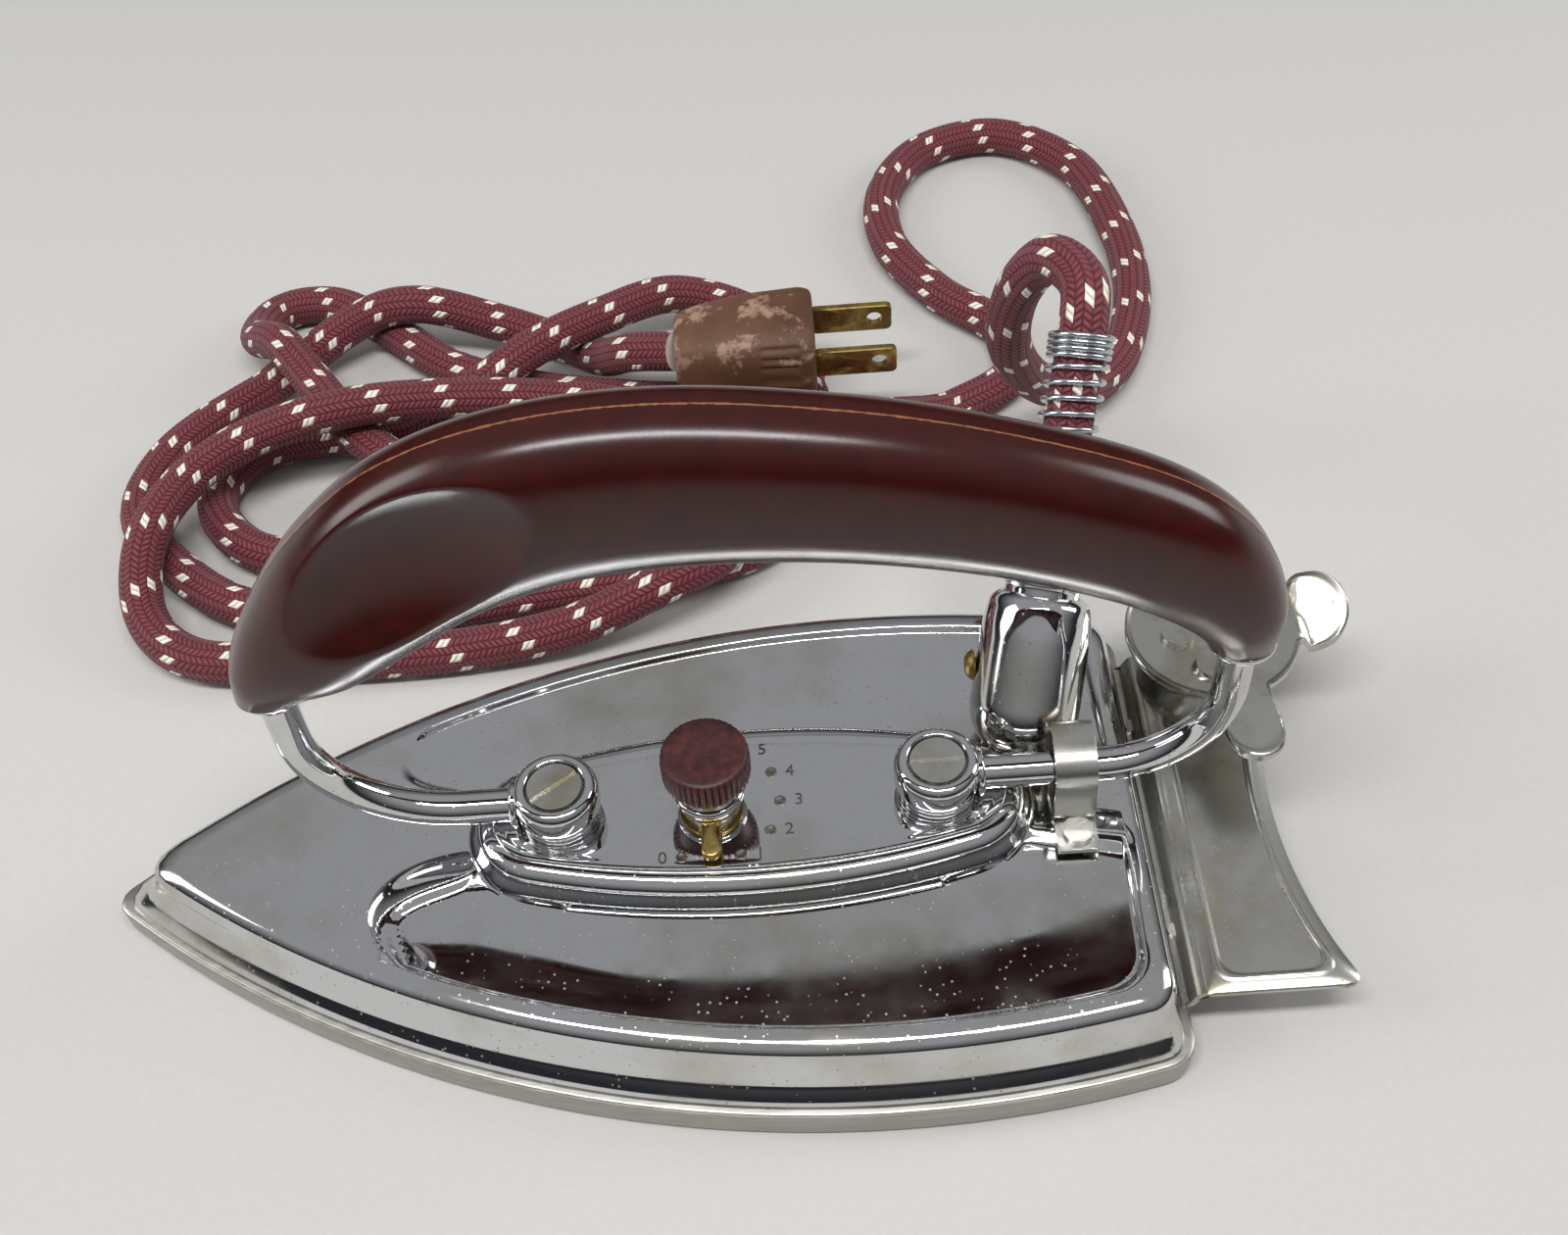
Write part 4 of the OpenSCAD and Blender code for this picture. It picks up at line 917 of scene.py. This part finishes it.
# %% Chrome, nickel, sole, spring and brass
def pitted_metal(name, clean, dull, smooth, rough, pit_size, stain_size, pits_from):
    """A plated metal: stains of one size mix two colours, and pinholes of another size are rougher and darker."""
    f = Finish(name, Metallic=1.0)
    stain = f.noise(1 / stain_size, 6.0, 0.62)
    cloud = f.limits(stain, 0.48, 0.72)
    cells = f.add("TexVoronoi", {"Vector": f.place, "Scale": 1 / pit_size}).outputs["Distance"]
    hole = f.limits(cells, 0.2, 0.1)
    where = f.noise(0.22 / pit_size, 3.0)
    pits = f.maths("MULTIPLY", hole, f.limits(where, pits_from, pits_from + 0.08))
    haze = f.maths("MAXIMUM", pits, f.spread(cloud, 0.0, 0.35))
    f.coat(f.mixed(pits, f.mixed(cloud, clean, dull), dull), f.spread(haze, smooth, rough))
    return f


f = chrome = pitted_metal("chrome_plate", "#D6D7D9", "#BDB9AE", 0.035, 0.5, 0.0013, 0.030, 0.44)
f.bumped(f.noise(1 / 0.028, 1.0), 0.0004, 0.35)
nickel = pitted_metal("nickel_plate", "#C9C8C3", "#A39A80", 0.24, 0.5, 0.0022, 0.014, 0.50)

f = sole_metal = Finish("ground_aluminium", Metallic=1.0)
drawn_out = f.add("Mapping", {"Vector": f.place, "Scale": (60.0, 900.0, 1600.0)}).outputs[0]
grain = f.noise(1.0, 5.0, place=drawn_out)
f.coat(f.mixed(grain, "#8B8880", "#C2C0BA"), f.spread(grain, 0.3, 0.48))
f.bumped(grain, 0.00005, 0.5)

f = spring_steel = Finish("spring_wire", Metallic=1.0, Roughness=0.2)
f.coat(f.mixed(f.noise(500.0, 3.0), "#A9ADB2", "#D5D8DC"))

f = brass = Finish("aged_brass", Metallic=1.0)
patch = f.limits(f.noise(260.0, 6.0, 0.65), 0.4, 0.68)
f.coat(f.mixed(patch, "#C4A865", "#6E5936"), f.spread(patch, 0.24, 0.55))


# %% [markdown]
# ### Phenolic
#
# Its colour is a little mottled by the wood flour in it. The mould's line along the top has worn to a
# pale tan: it lies where the grip's own map is nearly 0 or 1 round.

# %% Grip and knob
f = phenolic = Finish("moulded_phenolic", IOR=1.5, Specular_IOR_Level=0.45)
body_red = f.mixed(f.noise(120.0, 5.0, twist=1.5), "#1F0604", "#43100C")
width = f.spread(f.noise(900.0, 3.0), -0.001, 0.0046)
line = f.maths("LESS_THAN", f.maths("PINGPONG", f.own_map()[1], 0.5), width)
wear = f.noise(55.0, 8.0, 0.7)
f.coat(f.mixed(line, body_red, "#8A5A3C"), f.spread(wear, 0.14, 0.3))
f.bumped(wear, 0.00012, 0.25)

f = knob_phenolic = Finish("knob_phenolic", IOR=1.55)
dust = f.noise(700.0, 6.0)
f.coat(f.mixed(f.limits(dust, 0.35, 0.75), "#2E0B0B", "#541C1B"), f.spread(dust, 0.38, 0.6))
f.bumped(dust, 0.0001, 0.6)


# %% [markdown]
# ### Braid
#
# On the cord's map, u runs along in millimetres and v once round. Yarns cross in a herringbone: their
# slant changes sign from one column of the braid to the next. White tracer yarns come to the surface two
# at a time, as short dashes that climb round the cord.

# %% Braid
BRAID_COLUMNS, YARN, SLANT = 16.0, 1.1, 0.9
TRACE_COLUMNS, TRACE_EVERY, TRACE_STAIR = 8.0, 12.0, 1.5  # counted in columns and yarns
f = braid = Finish("braided_rayon", IOR=1.5, Sheen_Weight=0.12, Sheen_Roughness=0.4)
sums = f.maths
lie = f.own_map()
column = sums("MULTIPLY", lie[1], BRAID_COLUMNS)
zigzag = sums("PINGPONG", column, 1.0)
place_in_braid = sums("MULTIPLY_ADD", zigzag, SLANT, sums("DIVIDE", lie[0], YARN))
phase = sums("FRACT", place_in_braid)
yarn = sums("SINE", sums("MULTIPLY", phase, math.pi))
gutter = sums("ABSOLUTE", sums("SUBTRACT", sums("FRACT", column), 0.5))
height = sums("MULTIPLY", yarn, sums("SUBTRACT", 1.0, sums("POWER", sums("MULTIPLY", gutter, 2.0), 4.0)))
thread = f.noise(2500.0, 2.0)
# The red follows the yarn's height. It is painted darker in the gutters between columns and down each yarn's sides,
# which is painted shade between the yarns. Under that lies a random tone from the thread noise.
red = f.mixed(sums("MULTIPLY", thread, 0.45), f.mixed(height, "#3A0B10", "#863A44"), "#64202A")
trace_column = sums("MULTIPLY", lie[1], TRACE_COLUMNS)
stair = sums("FLOOR", sums("MULTIPLY", sums("FLOOR", trace_column), TRACE_STAIR))
yarn_number = sums("SUBTRACT", sums("FLOOR", place_in_braid), sums("SUBTRACT", stair, 100 * TRACE_EVERY))
white_yarn = sums("LESS_THAN", sums("MODULO", yarn_number, TRACE_EVERY), 1.5)
tracer = sums("MULTIPLY", white_yarn, sums("LESS_THAN", sums("FRACT", trace_column), 0.5))
# Each white tracer yarn is painted darker towards its sides, painted shade like the red's. Bump and roughness follow
# the same height.
f.coat(f.mixed(tracer, red, f.mixed(yarn, "#C9BCA6", "#F4EFE4")), f.spread(height, 0.85, 0.62))
f.bumped(height, 0.00028, 0.9)


# %% [markdown]
# ### Rubber, and what lies inside
#
# The plug has bloomed: old rubber goes dull brown with pale blotches. The inner parts don't show from
# outside, but each has its own finish.

# %% Plug, inner parts and marks
f = rubber = Finish("bloomed_rubber", IOR=1.52)
blotch = f.noise(130.0, 9.0, 0.68)
brown = f.mixed(f.limits(f.noise(45.0, 4.0), 0.35, 0.65), "#4E2F1C", "#6E4A36")
pale = f.maths("MULTIPLY", f.limits(blotch, 0.53, 0.6), 0.8)
f.coat(f.mixed(pale, brown, "#A58774"), f.spread(blotch, 0.5, 0.75))
f.bumped(blotch, 0.0004, 0.5)


def plain_finish(name, dark, pale_colour, size, low, high, **values):
    """A finish of two mottled colours and a range of roughness, with grain of a given size in metres."""
    f = Finish(name, **values)
    grain = f.noise(1 / size, 5.0)
    f.coat(f.mixed(f.limits(grain, 0.35, 0.65), dark, pale_colour), f.spread(grain, low, high))
    f.bumped(grain, 0.0001, 0.5)
    return f


mica = plain_finish("split_mica", "#8F7439", "#D9C38A", 0.004, 0.2, 0.4, IOR=1.58)
ribbon = plain_finish("oxidised_ribbon", "#4B4843", "#7B766C", 0.003, 0.35, 0.6, Metallic=1.0)
cast = plain_finish("sand_casting", "#45423E", "#6E6A63", 0.0015, 0.5, 0.75, Metallic=1.0)
ceramic = plain_finish("glazed_ceramic", "#D8CDB4", "#EFE7D3", 0.006, 0.2, 0.4, IOR=1.55)
cotton = plain_finish("cotton_sleeve", "#B9AD92", "#E5DCC6", 0.0006, 0.7, 0.9, IOR=1.5)
etched = plain_finish("etched_marks", "#26231F", "#4E4942", 0.0008, 0.45, 0.65, IOR=1.5)
sunk = plain_finish("sunk_mark", "#7A766E", "#A5A199", 0.0008, 0.25, 0.4, Metallic=1.0)

# %% Who wears what
SLOT_FINISH = dict(
    sole_metal=sole_metal, chrome=chrome, bright_steel=nickel, phenolic=phenolic, knob_phenolic=knob_phenolic,
    brass=brass, spring_steel=spring_steel, braid=braid, plug_rubber=rubber, mica=mica, ribbon=ribbon, cast=cast,
    ceramic=ceramic, lead=cotton)
for piece, slot in wearers:
    finish = etched if piece in numbers else sunk if piece in marks else SLOT_FINISH[slot]
    piece.data.materials.clear()
    piece.data.materials.append(finish.material)
for part in frame["record"]["subparts"]:
    for holder in frame["nodes"][part["node"]].material_slots:
        holder.material = SLOT_FINISH[part["material_slot"]].material
print(len(SLOT_FINISH), "finishes on", len(frame["nodes"]), "nodes")


# %% [markdown]
# ## Floor and light
#
# Chrome shows what stands round it. The room is a grey dome, darker towards the horizon, which draws dark
# bands on every rolled edge. A large soft panel hangs overhead and two weaker ones stand at the sides.

# %% Floor, panels and world
HALF = 2.0
floor_mesh = bpy.data.meshes.new("floor")
floor_mesh.from_pydata([(-HALF, -HALF, 0), (HALF, -HALF, 0), (HALF, HALF, 0), (-HALF, HALF, 0)], [], [(0, 1, 2, 3)])
floor = placed("floor", floor_mesh)
f = Finish("floor", Roughness=0.85)
f.coat(f.mixed(f.noise(900.0, 3.0), "#BDBBB7", "#C6C4C0"))
floor_mesh.materials.append(f.material)


def panel(name, at, towards, size, power):
    """A rectangular light that faces a point."""
    light = bpy.data.lights.new(name, "AREA")
    light.shape, light.size, light.size_y, light.energy = "RECTANGLE", *size, power
    holder = placed(name, light)
    holder.location = at
    holder.rotation_euler = (Vector(towards) - Vector(at)).to_track_quat("-Z", "Y").to_euler()


panel("overhead", (0.0, -0.22, 0.95), (0, 0.03, 0.03), (0.8, 0.11), 7.5)
panel("left", (-0.85, 0.05, 0.5), (0, 0, 0.04), (0.35, 0.6), 3.5)
panel("right", (0.85, 0.2, 0.45), (0, 0, 0.04), (0.3, 0.5), 2.5)
world = bpy.data.worlds.new("room")
scene.world = world
world.use_nodes = True
room = Nodes(world.node_tree)
height_of = room.add("SeparateXYZ", {0: room.add("TexCoord").outputs["Generated"]}).outputs[2]
sky = room.tree.nodes["Background"].inputs
room.tree.links.new(room.mixed(room.limits(height_of, 0.12, 0.7), "#3B3D41", "#C9CACC"), sky["Color"])
sky["Strength"].default_value = 0.62
scene.view_settings.view_transform = "Standard"
